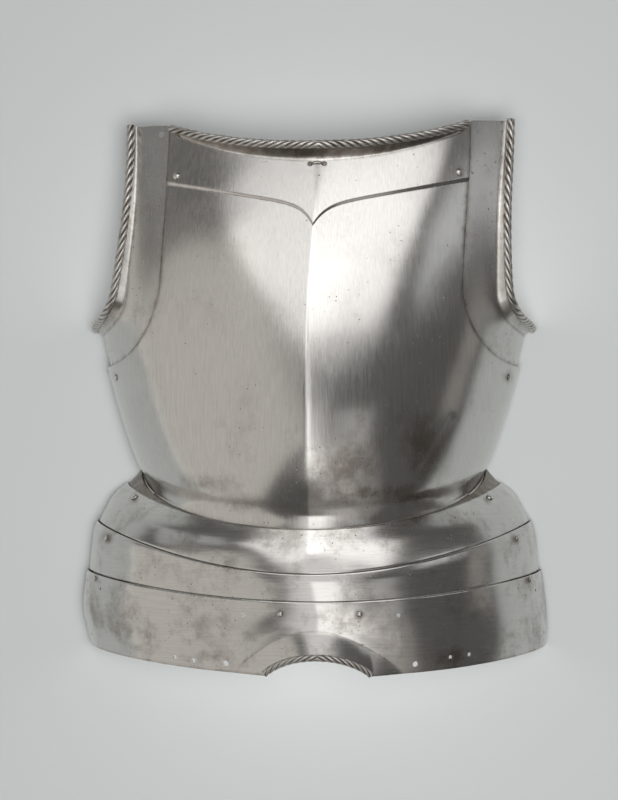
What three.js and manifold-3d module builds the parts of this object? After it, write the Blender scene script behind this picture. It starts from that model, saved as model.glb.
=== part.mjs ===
// Steel breastplate with a laminated skirt (fauld), lying on its back edges with the ridge up.
// Millimetres. X runs to the right as seen from the front, Y to the neck, Z out of the chest.
// All the plates are cut from one smooth form, a row of half ellipses from the neck to the hem.
// A place on the form is (u, v): u is -1 at the left edge, 0 on the ridge and 1 at the right edge,
// and v is the length along the ridge from the neck.
import * as THREE from 'three';
import { mergeVertices } from 'three/addons/utils/BufferGeometryUtils.js';
import Module from 'manifold-3d';

const wasm = await Module();
wasm.setup();

// ---------------------------------------------------------------- driving dimensions

const BREAST_THICKNESS = 2.0;
const GUSSET_THICKNESS = 1.5;
const LAME_THICKNESS = 1.5;
const AIR = 0.5;                    // between a plate and the one that laps over it
const GUSSET_AIR = 1.1;
const JOGGLE = 2.0;                 // how far a covered edge is set down, so that the lames can swing
const WAIST_JOGGLE = 1.6;
const LAP = 13;                     // length of a covered edge, measured down the ridge
const SHORT_LAP = 6.5;              // the same on the second lame, clear of the skirt rivets
const LYING_HEIGHT = 0.6;           // edges lower than this lie flat on the ground
const RIDGE_SPREAD = 40;            // how fast the medial ridge fades to the sides

const NECK_HALF = 134;              // half width of the main plate between the arm openings
const NECK_FLANGE = 11.4;           // how far the neck flange stands above its crease, at the middle
const NECK_FLANGE_LIFT = 10;        // and how far it leans forward
const BAND_HEIGHT = 1.2;            // step of the raised neck band
const BAND_STEP = 2.0;

const ARMPIT = { x: 188.6, y: 27, drop: 73, power: 1.8 };   // round sweep of the main plate's edge

const ROPE_RADIUS = 3.6;
const ROPE_GROOVE = 0.55;
const ROPE_PITCH = 34;              // one whole turn of a strand
const ARCH_ROPE_RADIUS = 3.1;
const RIVET_AIR = 0.5;              // left over and under what a rivet holds
const SHANK = 0.42;                 // radius of a rivet's shank, as a share of its head's

const ARCH = { x: 9, half: 46, top: 17.5, crest: 73, crestTop: 18, lift: 8 };

const CHEST_LEAN = 8;               // the hammered upper chest stands a little to the right
const CHEST_SKEW = 0.013;
const CHEST_LEAN_FROM = 60;
const CHEST_LEAN_TO = 245;

const STEEL = 0x9d9a95;
const DARK_STEEL = 0x8a857d;
const RIVET_STEEL = 0xa9a49b;

// Cross sections of the form. mid and side are the heights Y on the ridge and at the side edge,
// half is the half width, rise and foot are the heights Z on the ridge and at the side edge,
// ridge is how far the crease stands up, and bow how late the section turns towards its side.
const UPPER_FORM = [
  { name: 'neck', mid: 209, side: 311, half: 187, rise: 118, foot: 9, ridge: 4, bow: 1 },
  { name: 'collar', mid: 150.7, side: 205, half: 195, rise: 138, foot: 8, ridge: 6, bow: 1 },
  { name: 'chest', mid: 83.9, side: 112, half: 199.5, rise: 155, foot: 3, ridge: 7, bow: 1.1 },
  { name: 'breast', mid: 45, side: 64, half: 197.5, rise: 163, foot: 0, ridge: 8, bow: 1.1 },
  { name: 'armpit', mid: 14.6, side: 27, half: 189.5, rise: 168, foot: 0, ridge: 8, bow: 1.1 },
  { name: 'ribs', mid: -28.4, side: -2.8, half: 181, rise: 171, foot: 0, ridge: 7, bow: 1.1 },
  { name: 'belly', mid: -62.8, side: -28, half: 172.5, rise: 167, foot: 0, ridge: 5.5, bow: 1 },
  { name: 'tuck', mid: -89, side: -50, half: 164, rise: 157, foot: 0, ridge: 4, bow: 1 },
  { name: 'fold', mid: -102.3, side: -60, half: 159.8, rise: 150, foot: 0, ridge: 3, bow: 1 },
  { name: 'waist', mid: -114.5, side: -66, half: 158.5, rise: 150, foot: 0, ridge: 2.5, bow: 1 },
];
const LOWER_FORM = [
  UPPER_FORM.at(-1),
  { name: 'notch', mid: -122, side: -77, half: 168, rise: 153.5, foot: 0, ridge: 2.2, bow: 1.25 },
  { name: 'hip', mid: -131, side: -88, half: 181, rise: 158.5, foot: 0, ridge: 2, bow: 1.55 },
  { name: 'flank', mid: -142, side: -100, half: 190, rise: 164, foot: 0, ridge: 2, bow: 1.85 },
  { name: 'second', mid: -153.2, side: -113.4, half: 197.5, rise: 168, foot: 0, ridge: 2, bow: 2.1 },
  { name: 'third', mid: -177, side: -158, half: 206.6, rise: 172, foot: 0, ridge: 1.8, bow: 2.1 },
  { name: 'skirt', mid: -208, side: -197, half: 212, rise: 172.5, foot: 0, ridge: 1.5, bow: 2 },
  { name: 'hem', mid: -240.7, side: -225.4, half: 208.8, rise: 170, foot: 0, ridge: 1.5, bow: 2 },
];
const CREASE_DRIFT = 9;             // the skirt's crease wanders to the right on its way down
const HEM_LEAN = 4;                 // and its last lame stands over a little, as hammered work does

// Sections of a gusset, from its top to its end in the armpit: where the main plate's edge crosses
// it, where its flange is creased, and the middle of its roped roll, which stands lift above the
// crease. x is measured from the ridge.
const GUSSET = [
  { seamX: 134, seamY: 245, creaseX: 166, creaseY: 245, rollX: 170.5, rollY: 246, lift: 10 },
  { seamX: 134, seamY: 176, creaseX: 162.6, creaseY: 176, rollX: 170, rollY: 176, lift: 9 },
  { seamX: 134, seamY: 128, creaseX: 163.4, creaseY: 128, rollX: 172.6, rollY: 128, lift: 8 },
  { seamX: 134.6, seamY: 98, creaseX: 164.2, creaseY: 98, rollX: 175.5, rollY: 98, lift: 6 },
  { seamX: 141, seamY: 71, creaseX: 166.5, creaseY: 82, rollX: 179, rollY: 84.5, lift: 3 },
  { seamX: 152.5, seamY: 49.5, creaseX: 174.5, creaseY: 68.5, rollX: 186.5, rollY: 73, lift: -3 },
  { seamX: 169, seamY: 34, creaseX: 187, creaseY: 60, rollX: 194.5, rollY: 66.5, lift: -7 },
  { seamX: 188.6, seamY: 27, creaseX: 196.4, creaseY: 55, rollX: 200, rollY: 62, lift: 4.5 },
];

const OVER = LAME_THICKNESS + AIR;

// Rivets, mirrored to both sides of middle, which is 0 if it isn't given. head is the radius of the
// head, on is how far the outer plate stands off the form, and grip is all that the rivet holds.
const GUSSET_GRIP = BREAST_THICKNESS + GUSSET_AIR + GUSSET_THICKNESS;
const RIVETS = [
  { name: 'rivet_neck', x: 125, y: 197, head: 3.6, on: BAND_HEIGHT, grip: GUSSET_GRIP + BAND_HEIGHT },
  { name: 'rivet_armpit', x: 177, y: 17.5, head: 3.0, on: 0, grip: GUSSET_GRIP + 3 },
  { name: 'rivet_lame_1', x: 159, y: -92, head: 3.5, on: OVER, grip: 3 * OVER + JOGGLE + BREAST_THICKNESS },
  { name: 'rivet_lame_2', x: 182.5, y: -127, head: 2.6, on: OVER, grip: 2 * OVER + JOGGLE },
  { name: 'rivet_lame_3', x: 194, y: -164, head: 2.5, on: OVER, grip: 2 * OVER + JOGGLE },
  { name: 'rivet_skirt', x: 34, middle: 11, y: -187, head: 2.5, on: 0.85 * OVER, grip: LAME_THICKNESS },
];

// ---------------------------------------------------------------- the form

const ease = (at, from, to) => THREE.MathUtils.smoothstep(at, from, to);

function naturalSpline(knots, values) {
  const last = knots.length - 1;
  const bends = new Array(last + 1).fill(0);
  const sweep = new Array(last + 1).fill(0);
  for (let i = 1; i < last; i += 1) {
    const before = knots[i] - knots[i - 1];
    const after = knots[i + 1] - knots[i];
    const turn = (values[i + 1] - values[i]) / after - (values[i] - values[i - 1]) / before;
    const weight = before / (before + after);
    const pivot = weight * sweep[i - 1] + 2;
    sweep[i] = (weight - 1) / pivot;
    bends[i] = ((6 * turn) / (before + after) - weight * bends[i - 1]) / pivot;
  }
  for (let i = last - 1; i > 0; i -= 1) bends[i] += sweep[i] * bends[i + 1];
  return (at) => {
    let i = 1;
    while (i < last && at > knots[i]) i += 1;
    const span = knots[i] - knots[i - 1];
    const a = (knots[i] - at) / span;
    const b = 1 - a;
    const bow = ((a ** 3 - a) * bends[i - 1] + (b ** 3 - b) * bends[i]) * (span * span) / 6;
    return a * values[i - 1] + b * values[i] + bow;
  };
}

function loft(stations, start) {
  const knots = [start];
  for (let i = 1; i < stations.length; i += 1) {
    const down = stations[i].mid - stations[i - 1].mid;
    const out = stations[i].rise - stations[i - 1].rise;
    knots.push(knots[i - 1] + Math.hypot(down, out));
  }
  const along = (key) => naturalSpline(knots, stations.map((station) => station[key]));
  const columns = ['mid', 'side', 'half', 'rise', 'foot', 'ridge', 'bow'];
  return { knots, along: Object.fromEntries(columns.map((key) => [key, along(key)])) };
}

const upper = loft(UPPER_FORM, 0);
const WAIST = upper.knots.at(-1);
const lower = loft(LOWER_FORM, WAIST);

function stationAt(name) {
  const high = UPPER_FORM.findIndex((station) => station.name === name);
  if (high >= 0) return upper.knots[high];
  return lower.knots[LOWER_FORM.findIndex((station) => station.name === name)];
}

const SECOND = stationAt('second');
const THIRD = stationAt('third');
const HEM = stationAt('hem');

function formPoint(u, v) {
  const form = (v <= WAIST ? upper : lower).along;
  const angle = u * Math.PI / 2;
  const level = Math.max(Math.cos(angle), 0);
  const x = form.half(v) * Math.sin(angle);
  const crease = form.ridge(v);
  const foot = form.foot(v);
  const z = foot + (form.rise(v) - crease - foot) * level + crease * Math.exp(-Math.abs(x) / RIDGE_SPREAD);
  const y = form.mid(v) + (form.side(v) - form.mid(v)) * (1 - level ** form.bow(v));
  return new THREE.Vector3(x + leanAt(v) + driftAt(v) * level * level, y, z);
}

const driftAt = (v) => CREASE_DRIFT * ease(v, WAIST + 20, THIRD + 20);
const leanAt = (v) => HEM_LEAN * ease(v, THIRD + 15, HEM);

function formNormal(u, v) {
  const du = 0.004;
  const dv = v <= WAIST ? -0.5 : 0.5;
  const across = formPoint(Math.min(u + du, 1), v).sub(formPoint(Math.max(u - du, -1), v));
  const along = formPoint(u, v + dv).sub(formPoint(u, v)).multiplyScalar(-Math.sign(dv));
  const normal = across.cross(along);
  if (Math.abs(u) > 0.999) normal.setZ(0);
  return normal.normalize();
}

function offsetPoint(u, v, offset) {
  return formPoint(u, v).addScaledVector(formNormal(u, v), offset);
}

function bisect(low, high, isPast) {
  let a = low;
  let b = high;
  for (let i = 0; i < 40; i += 1) {
    const middle = (a + b) / 2;
    if (isPast(middle)) b = middle;
    else a = middle;
  }
  return (a + b) / 2;
}

// The place across the form, at the length v, that stands over x.
function acrossAt(x, v) {
  const half = (v <= WAIST ? upper : lower).along.half(v);
  let u = 0;
  for (let i = 0; i < 4; i += 1) {
    const moved = leanAt(v) + driftAt(v) * Math.cos(u * Math.PI / 2) ** 2;
    u = Math.asin(THREE.MathUtils.clamp((x - moved) / half, -1, 1)) * 2 / Math.PI;
  }
  return u;
}

// The place on the form that the front view shows at (x, y).
function placeAt(x, y) {
  const v = bisect(-12, HEM + 10, (trial) => formPoint(acrossAt(x, trial), trial).y < y);
  return { u: acrossAt(x, v), v };
}

// The upper chest leans and rises slightly to the right, as hammered work does.
function settle(point) {
  const share = ease(point.y, CHEST_LEAN_FROM, CHEST_LEAN_TO);
  return new THREE.Vector3(
    point.x + CHEST_LEAN * share,
    point.y + CHEST_SKEW * point.x * share,
    point.z,
  );
}

// ---------------------------------------------------------------- solids

function closedGeometry(positions, triangles) {
  const geometry = new THREE.BufferGeometry();
  geometry.setAttribute('position', new THREE.Float32BufferAttribute(positions, 3));
  geometry.setIndex(triangles);
  return geometry;
}

function toSolid(geometry) {
  const bare = geometry.clone();
  bare.deleteAttribute('normal');
  bare.deleteAttribute('uv');
  const merged = mergeVertices(bare, 1e-4);
  return new wasm.Manifold(new wasm.Mesh({
    numProp: 3,
    vertProperties: new Float32Array(merged.attributes.position.array),
    triVerts: new Uint32Array(merged.index.array),
  }));
}

function toGeometry(solid) {
  const mesh = solid.getMesh();
  return closedGeometry(Array.from(mesh.vertProperties), Array.from(mesh.triVerts));
}

// Normals of a grid of points, found from each point's neighbours along and across.
function gridNormals(grid) {
  return grid.map((row, r) => row.map((point, c) => {
    const above = grid[Math.max(r - 1, 0)][c];
    const below = grid[Math.min(r + 1, grid.length - 1)][c];
    const left = row[Math.max(c - 1, 0)];
    const right = row[Math.min(c + 1, row.length - 1)];
    const away = new THREE.Vector3().subVectors(right, left).normalize();
    return away.cross(new THREE.Vector3().subVectors(above, below)).normalize();
  }));
}

// A plate of even thickness under a grid of points, whose rows run from the left to the right and
// come from the neck down. Nothing reaches below the surface that the plate lies on, and the
// two halves are cut into mirrored triangles.
function plate(grid, thickness) {
  const normals = gridNormals(grid);
  const rows = grid.length;
  const columns = grid[0].length;
  const positions = [];
  const lies = (point) => point.z < LYING_HEIGHT;
  const put = (point) => positions.push(point.x, point.y, lies(point) ? 0 : point.z);
  grid.forEach((row) => row.forEach(put));
  grid.forEach((row, r) => row.forEach((point, c) => {
    const normal = normals[r][c];
    if (lies(point)) normal.setZ(0).normalize();
    put(point.clone().addScaledVector(normal, -thickness));
  }));
  const outer = (r, c) => r * columns + c;
  const inner = (r, c) => rows * columns + r * columns + c;
  const triangles = [];
  const quad = (a, b, c, d) => triangles.push(a, b, c, a, c, d);
  for (let r = 0; r < rows - 1; r += 1) {
    for (let c = 0; c < columns - 1; c += 1) {
      if (grid[r][c].x < -0.01) {
        quad(outer(r, c), outer(r + 1, c), outer(r + 1, c + 1), outer(r, c + 1));
        quad(inner(r, c), inner(r, c + 1), inner(r + 1, c + 1), inner(r + 1, c));
      } else {
        quad(outer(r + 1, c), outer(r + 1, c + 1), outer(r, c + 1), outer(r, c));
        quad(inner(r + 1, c), inner(r, c), inner(r, c + 1), inner(r + 1, c + 1));
      }
    }
    quad(outer(r, 0), inner(r, 0), inner(r + 1, 0), outer(r + 1, 0));
    quad(outer(r, columns - 1), outer(r + 1, columns - 1), inner(r + 1, columns - 1), inner(r, columns - 1));
  }
  for (let c = 0; c < columns - 1; c += 1) {
    quad(outer(0, c), outer(0, c + 1), inner(0, c + 1), inner(0, c));
    quad(outer(rows - 1, c), inner(rows - 1, c), inner(rows - 1, c + 1), outer(rows - 1, c + 1));
  }
  return closedGeometry(positions, triangles);
}

// A roped roll along a curve: six corners, alternately high and low, turned by one corner a step.
// The twist changes hand at the share mirrorAt of the length.
function rope(curve, radius, mirrorAt) {
  const corners = 6;
  const steps = Math.round(curve.getLength() / (ROPE_PITCH / corners));
  const positions = [];
  const triangles = [];
  const middles = curve.getSpacedPoints(steps);
  const ring = (k, i) => k * corners + (i + corners) % corners;
  let side = new THREE.Vector3(0, 0, 1);
  middles.forEach((middle, k) => {
    const ahead = middles[Math.min(k + 1, steps)].clone().sub(middles[Math.max(k - 1, 0)]).normalize();
    side = side.clone().addScaledVector(ahead, -side.dot(ahead)).normalize();
    const up = new THREE.Vector3().crossVectors(ahead, side);
    for (let i = 0; i < corners; i += 1) {
      const angle = i * 2 * Math.PI / corners;
      const reach = radius - ((i + k) % 2 === 0 ? 0 : ROPE_GROOVE * 2);
      const point = middle.clone()
        .addScaledVector(side, reach * Math.cos(angle))
        .addScaledVector(up, reach * Math.sin(angle));
      positions.push(point.x, point.y, point.z);
    }
  });
  const start = positions.length / 3;
  positions.push(...middles[0].toArray(), ...middles[steps].toArray());
  for (let i = 0; i < corners; i += 1) {
    triangles.push(start, ring(0, i + 1), ring(0, i));
    triangles.push(start + 1, ring(steps, i), ring(steps, i + 1));
    for (let k = 0; k < steps; k += 1) {
      const rises = k < steps * mirrorAt;
      const even = (i + k) % 2 === 0;
      const [a, b, c, d] = [ring(k, i), ring(k, i + 1), ring(k + 1, i + 1), ring(k + 1, i)];
      if (even === rises) triangles.push(a, b, c, a, c, d);
      else triangles.push(a, b, d, b, c, d);
    }
  }
  return closedGeometry(positions, triangles);
}

function standOn(geometry, point, normal) {
  const turn = new THREE.Quaternion().setFromUnitVectors(new THREE.Vector3(0, 1, 0), normal);
  return geometry.applyQuaternion(turn).translate(point.x, point.y, point.z);
}

function drill(solid, holes) {
  let result = solid;
  for (const hole of holes) {
    const { u, v } = placeAt(hole.x, hole.y);
    const cutter = new THREE.CylinderGeometry(hole.radius, hole.radius, 24, 6);
    result = result.subtract(toSolid(standOn(cutter, formPoint(u, v), formNormal(u, v))));
  }
  return result;
}

const sideX = (entry, side) => (entry.middle ?? 0) + side * entry.x;
const mirrored = (hole) => [-1, 1].map((side) => ({ ...hole, x: sideX(hole, side) }));

// Holes for a rivet: snug in the plate that it holds, loose in a plate that swings under it.
const SNUG = 0.45;
const LOOSE = 1.0;
function rivetHole(name, play) {
  const rivet = RIVETS.find((entry) => entry.name === name);
  return { ...rivet, radius: rivet.head * SHANK + play };
}
const rivetHoles = (name, play) => mirrored(rivetHole(name, play));
const steel = (color, roughness) => new THREE.MeshStandardMaterial({ color, roughness, metalness: 1 });

const model = new THREE.Group();

function addPiece(name, geometry, color = STEEL, roughness = 0.28) {
  const mesh = new THREE.Mesh(geometry, steel(color, roughness));
  mesh.name = name;
  model.add(mesh);
}

function settled(geometry) {
  const position = geometry.attributes.position;
  for (let i = 0; i < position.count; i += 1) {
    const point = settle(new THREE.Vector3().fromBufferAttribute(position, i));
    position.setXYZ(i, point.x, point.y, point.z);
  }
  return geometry;
}

// ---------------------------------------------------------------- main plate

// Half width of the main plate at height y: upright beside the arm opening, then swept out.
function armEdge(y) {
  const share = THREE.MathUtils.clamp((y - ARMPIT.y) / ARMPIT.drop, 0, 1);
  const sweep = (1 - (1 - share) ** ARMPIT.power) ** (1 / ARMPIT.power);
  return ARMPIT.x + (NECK_HALF - ARMPIT.x) * sweep;
}

// Lower border of the raised neck band: two shallow arcs that meet in a cusp on the ridge.
function bandBorder(x) {
  return 168 + 23 * (Math.abs(x) / 127) ** 1.1 - 17 * Math.exp(-Math.abs(x) / 9.8);
}

const borderAt = (u) => bisect(0, stationAt('chest'), (v) => {
  const point = formPoint(u, v);
  return point.y < bandBorder(point.x);
});

// Rows of the main plate, each the length v at a place u, with how far it stands off the form.
function breastRows() {
  const rows = [];
  const breast = stationAt('breast');
  const armpit = stationAt('armpit');
  const between = (share) => (u) => THREE.MathUtils.lerp(borderAt(u), breast, share);
  const level = (v) => () => v;
  rows.push({ at: level(0), offset: BAND_HEIGHT });
  rows.push({ at: (u) => borderAt(u) / 2, offset: BAND_HEIGHT });
  rows.push({ at: borderAt, offset: BAND_HEIGHT });
  rows.push({ at: (u) => borderAt(u) + BAND_STEP, offset: 0 });
  for (const share of [0.25, 0.55, 0.8]) rows.push({ at: between(share), offset: 0 });
  for (const share of [0.0, 0.35, 0.65, 0.85, 1]) {
    rows.push({ at: level(THREE.MathUtils.lerp(breast, armpit, share)), offset: 0 });
  }
  for (const name of ['ribs', 'belly', 'tuck']) rows.push({ at: level(stationAt(name)), offset: 0 });
  const sunk = -(LAME_THICKNESS + AIR + 0.3);
  rows.push({ at: level(stationAt('fold')), offset: sunk / 2 });
  rows.push({ at: level(WAIST), offset: sunk });
  rows.push({ at: level(WAIST + 4), offset: sunk - JOGGLE });
  rows.push({ at: (u) => WAIST + LAP + 6 * Math.abs(u), offset: sunk - JOGGLE });
  return rows;
}

function breastGrid() {
  const half = 12;
  const grid = breastRows().map(({ at, offset }) => {
    const reach = bisect(0, 1, (u) => {
      const point = formPoint(u, at(u));
      return point.x > armEdge(point.y);
    });
    const edge = reach > 0.999 ? 1 : reach;
    return Array.from({ length: 2 * half + 1 }, (_, i) => {
      const share = (i - half) / half;
      const u = Math.sign(share) * edge * Math.abs(share) ** 1.15;
      return offsetPoint(u, at(u), offset);
    });
  });
  const crease = grid[0];
  const flange = (share) => crease.map((point, i) => {
    const across = (i - half) / half;
    return new THREE.Vector3(
      point.x * (1 - 0.019 * share),
      point.y + NECK_FLANGE * (1 - across * across) * share,
      point.z + NECK_FLANGE_LIFT * share ** 1.5,
    );
  });
  return [flange(1), flange(0.5), ...grid];
}

function buildBreast() {
  const grid = breastGrid();
  const sheet = toSolid(plate(grid, BREAST_THICKNESS));
  const roll = rope(new THREE.CatmullRomCurve3(grid[0]), ROPE_RADIUS, 0.5);
  const holes = [
    ...mirrored({ x: 5.7, y: 204, radius: 1.9 }),
    { x: 2, y: 193, radius: 1.1 },
    ...rivetHoles('rivet_neck', SNUG),
    ...rivetHoles('rivet_armpit', SNUG),
    ...rivetHoles('rivet_lame_1', LOOSE),
  ];
  addPiece('breast_plate', settled(toGeometry(drill(sheet.add(toSolid(roll)), holes))));
}

// ---------------------------------------------------------------- gussets

function gussetColumns() {
  const knots = GUSSET.map((_, i) => i);
  const along = (key) => naturalSpline(knots, GUSSET.map((section) => section[key]));
  return Object.fromEntries(Object.keys(GUSSET[0]).map((key) => [key, along(key)]));
}

function gussetSection(columns, t) {
  const last = GUSSET.length - 1;
  const sunk = -(BREAST_THICKNESS + GUSSET_AIR);
  const seam = placeAt(columns.seamX(t), columns.seamY(t));
  const crease = placeAt(columns.creaseX(t), columns.creaseY(t));
  if (t === last) seam.u = crease.u = 1;
  const width = Math.hypot(
    columns.creaseX(t) - columns.seamX(t),
    columns.creaseY(t) - columns.seamY(t),
  );
  const lap = LAP * (1 + 1.3 * ease(t, 4, last)) / width;   // longer where the armpit rivet holds it
  const onForm = (share) => {
    const u = THREE.MathUtils.lerp(seam.u, crease.u, share);
    const low = share < 0 ? Math.max(0, 1.5 - t) * 12 : 0;
    return offsetPoint(u, THREE.MathUtils.lerp(seam.v, crease.v, share) + low, sunk);
  };
  const points = [-lap, 0, 0.5, 1].map(onForm);
  const bend = points.at(-1);
  const roll = new THREE.Vector3(columns.rollX(t), columns.rollY(t), bend.z + columns.lift(t));
  points.push(bend.clone().lerp(roll, 0.5), roll);
  return points;
}

function buildGusset(name, side) {
  const columns = gussetColumns();
  const last = GUSSET.length - 1;
  const steps = 15;
  const sections = Array.from({ length: steps + 1 }, (_, i) => gussetSection(columns, last * i / steps));
  const grid = sections.map((points) => {
    const placed = points.map((point) => new THREE.Vector3(side * point.x, point.y, point.z));
    return side > 0 ? placed : placed.reverse();
  });
  const sheet = toSolid(plate(grid, GUSSET_THICKNESS));
  const edge = sections.map((points) => points.at(-1));
  const middle = edge.map((point) => new THREE.Vector3(side * point.x, point.y, point.z));
  const roll = rope(new THREE.CatmullRomCurve3(middle), ROPE_RADIUS, side > 0 ? 1 : 0);
  const holes = [
    { x: 143, y: 237, radius: 2.3 },
    rivetHole('rivet_neck', SNUG),
    rivetHole('rivet_armpit', SNUG),
  ].map((hole) => ({ ...hole, x: side * hole.x }));
  addPiece(name, settled(toGeometry(drill(sheet.add(toSolid(roll)), holes))));
}

// ---------------------------------------------------------------- skirt

// Top edge of the first fauld lame: under the waist line at the middle, lower towards each side.
const firstTop = (u) => WAIST + 1 + 9.5 * ease(Math.abs(u), 0.3, 1.05) ** 1.5;

function lameGrid(rows, columns) {
  return rows.map(({ at, offset }) => columns.map((u) => offsetPoint(u, at(u), offset)));
}

const evenColumns = (count) => Array.from({ length: count + 1 }, (_, i) => 2 * i / count - 1);
const LAME_COLUMNS = evenColumns(26);
// Rows of a lame that starts at top, laps over the plate above and is covered from next on.
function lameRows(top, next, lap, middles) {
  return [
    { at: top, offset: OVER },
    { at: (u) => top(u) + 5, offset: OVER },
    ...middles.map((share) => ({
      at: (u) => THREE.MathUtils.lerp(top(u) + 5, next - 3, share),
      offset: OVER * (1 - ease(share, 0, 1)),
    })),
    { at: () => next - 3, offset: 0 },
    { at: () => next + 1.5, offset: -JOGGLE },
    { at: () => next + lap, offset: -JOGGLE },
  ];
}

function buildWaistLame() {
  const lap = (u) => 9 - 8 * ease(Math.abs(u), 0.78, 0.9);   // short behind the rivets, clear of the swing
  const rows = [
    { at: () => WAIST, offset: 0 },
    { at: (u) => firstTop(u) - 0.5, offset: 0 },
    { at: (u) => firstTop(u) + 0.35 * lap(u), offset: -WAIST_JOGGLE },
    { at: (u) => firstTop(u) + lap(u), offset: -WAIST_JOGGLE },
  ];
  const sheet = toSolid(plate(lameGrid(rows, LAME_COLUMNS), LAME_THICKNESS));
  addPiece('waist_lame', toGeometry(drill(sheet, rivetHoles('rivet_lame_1', LOOSE))), DARK_STEEL);
}

function buildLame(name, rows, holes) {
  const sheet = toSolid(plate(lameGrid(rows, LAME_COLUMNS), LAME_THICKNESS));
  addPiece(name, toGeometry(drill(sheet, holes)));
}

// Lower edge of the last lame, lifted into an arch at the middle, and the crease of the arch's flange.
const archShape = (x, half, power) => Math.max(1 - ((x - ARCH.x) / half) ** 2, 0) ** power;
const hemAt = (x) => HEM - ARCH.top * archShape(x, ARCH.half, 0.8);
const crestAt = (x) => HEM - 3.5 - (ARCH.top + ARCH.crestTop) * archShape(x, ARCH.crest, 1.2);

function lastLameGrid() {
  const inner = Array.from({ length: 17 }, (_, i) => 0.255 * (i - 8) / 8);
  const outer = Array.from({ length: 9 }, (_, i) => THREE.MathUtils.lerp(0.255, 1, (i + 1) / 9));
  const columns = [...outer.map((u) => -u).reverse(), ...inner, ...outer];
  const widthAt = (u) => formPoint(u, HEM).x;
  const lift = (u) => ARCH.lift * archShape(widthAt(u), ARCH.crest, 1.2);
  const onHem = (share) => (u) => THREE.MathUtils.lerp(crestAt(widthAt(u)), hemAt(widthAt(u)), share);
  const body = (share) => (u) => THREE.MathUtils.lerp(THIRD + 5, crestAt(widthAt(u)), share);
  const rows = [
    { at: () => THIRD, offset: () => OVER },
    { at: () => THIRD + 5, offset: () => OVER },
    { at: body(0.35), offset: () => OVER * 0.6 },
    { at: body(0.7), offset: () => 0 },
    { at: body(1), offset: () => 0 },
    { at: onHem(0.5), offset: (u) => lift(u) * 0.5 },
    { at: onHem(1), offset: lift },
  ];
  return rows.map(({ at, offset }) => columns.map((u) => offsetPoint(u, at(u), offset(u))));
}

function buildLastLame() {
  const grid = lastLameGrid();
  const sheet = toSolid(plate(grid, LAME_THICKNESS));
  const edge = grid.at(-1).filter((point) => Math.abs(point.x - ARCH.x) < ARCH.half + 1);
  const roll = rope(new THREE.CatmullRomCurve3(edge), ARCH_ROPE_RADIUS, 0.5);
  const holes = [
    ...rivetHoles('rivet_lame_3', SNUG),
    ...rivetHoles('rivet_skirt', SNUG),
    ...mirrored({ x: 66.5, middle: 11.5, y: -188.5, radius: 1.7 }),
    ...mirrored({ x: 82, middle: 11, y: -231, radius: 2.4 }),
    { x: -100, y: -229.5, radius: 2 },
    { x: -117, y: -227.5, radius: 1.9 },
    { x: 123.5, y: -226, radius: 1.6 },
    { x: 140, y: -224.5, radius: 1.7 },
  ];
  addPiece('fauld_lame_3', toGeometry(drill(sheet.add(toSolid(roll)), holes)));
}

// ---------------------------------------------------------------- rivets and staple

function rivetGeometry(head, outside, inside) {
  const shank = head * SHANK;
  const dome = 0.55 * head;
  const profile = [
    [0, inside - 1],
    [head * 0.8, inside],
    [shank, inside],
    [shank, outside],
    [head, outside],
    [head * 0.6, outside + dome],
    [0, outside + dome],
  ];
  return new THREE.LatheGeometry(profile.map(([x, y]) => new THREE.Vector2(x, y)), 6);
}

function buildRivet(rivet, side) {
  const { u, v } = placeAt(sideX(rivet, side), rivet.y);
  const outside = rivet.on + RIVET_AIR;
  const inside = rivet.on - rivet.grip - RIVET_AIR;
  const place = rivet.y > 0 ? settle(formPoint(u, v)) : formPoint(u, v);
  const geometry = standOn(rivetGeometry(rivet.head, outside, inside), place, formNormal(u, v));
  addPiece(`${rivet.name}_${side > 0 ? 'right' : 'left'}`, geometry, RIVET_STEEL, 0.35);
}

function buildStaple() {
  const { u, v } = placeAt(0, 204);
  const base = settle(formPoint(u, v));
  const leg = (x, y, z) => new THREE.Vector3(base.x + x, base.y + y, base.z + z);
  const path = new THREE.CatmullRomCurve3([
    leg(-5.7, 0, -6), leg(-5.7, 0, 0.5), leg(-4, 0.8, 2.6), leg(0, 1.4, 3.4),
    leg(4, 0.8, 2.6), leg(5.7, 0, 0.5), leg(5.7, 0, -6),
  ]);
  const wire = new THREE.Shape().absarc(0, 0, 0.8, 0, 2 * Math.PI, false);
  const geometry = new THREE.ExtrudeGeometry(wire, {
    steps: 12, curveSegments: 3, bevelEnabled: false, extrudePath: path,
  });
  addPiece('neck_staple', geometry, DARK_STEEL, 0.5);
}

// ---------------------------------------------------------------- assembly

buildBreast();
buildGusset('gusset_left', -1);
buildGusset('gusset_right', 1);
buildWaistLame();
buildLame('fauld_lame_1', lameRows(firstTop, SECOND, LAP, [0.35, 0.7]), [
  ...rivetHoles('rivet_lame_1', SNUG),
  ...rivetHoles('rivet_lame_2', LOOSE),
]);
buildLame('fauld_lame_2', lameRows(() => SECOND, THIRD, SHORT_LAP, [0.5]), [
  ...rivetHoles('rivet_lame_2', SNUG),
  ...rivetHoles('rivet_lame_3', LOOSE),
]);
buildLastLame();
for (const rivet of RIVETS) {
  buildRivet(rivet, -1);
  buildRivet(rivet, 1);
}
buildStaple();

// The origin is under the middle of the whole breastplate.
const middle = new THREE.Box3().setFromObject(model).getCenter(new THREE.Vector3());
model.position.set(-middle.x, -middle.y, 0);

export default model;
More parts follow.
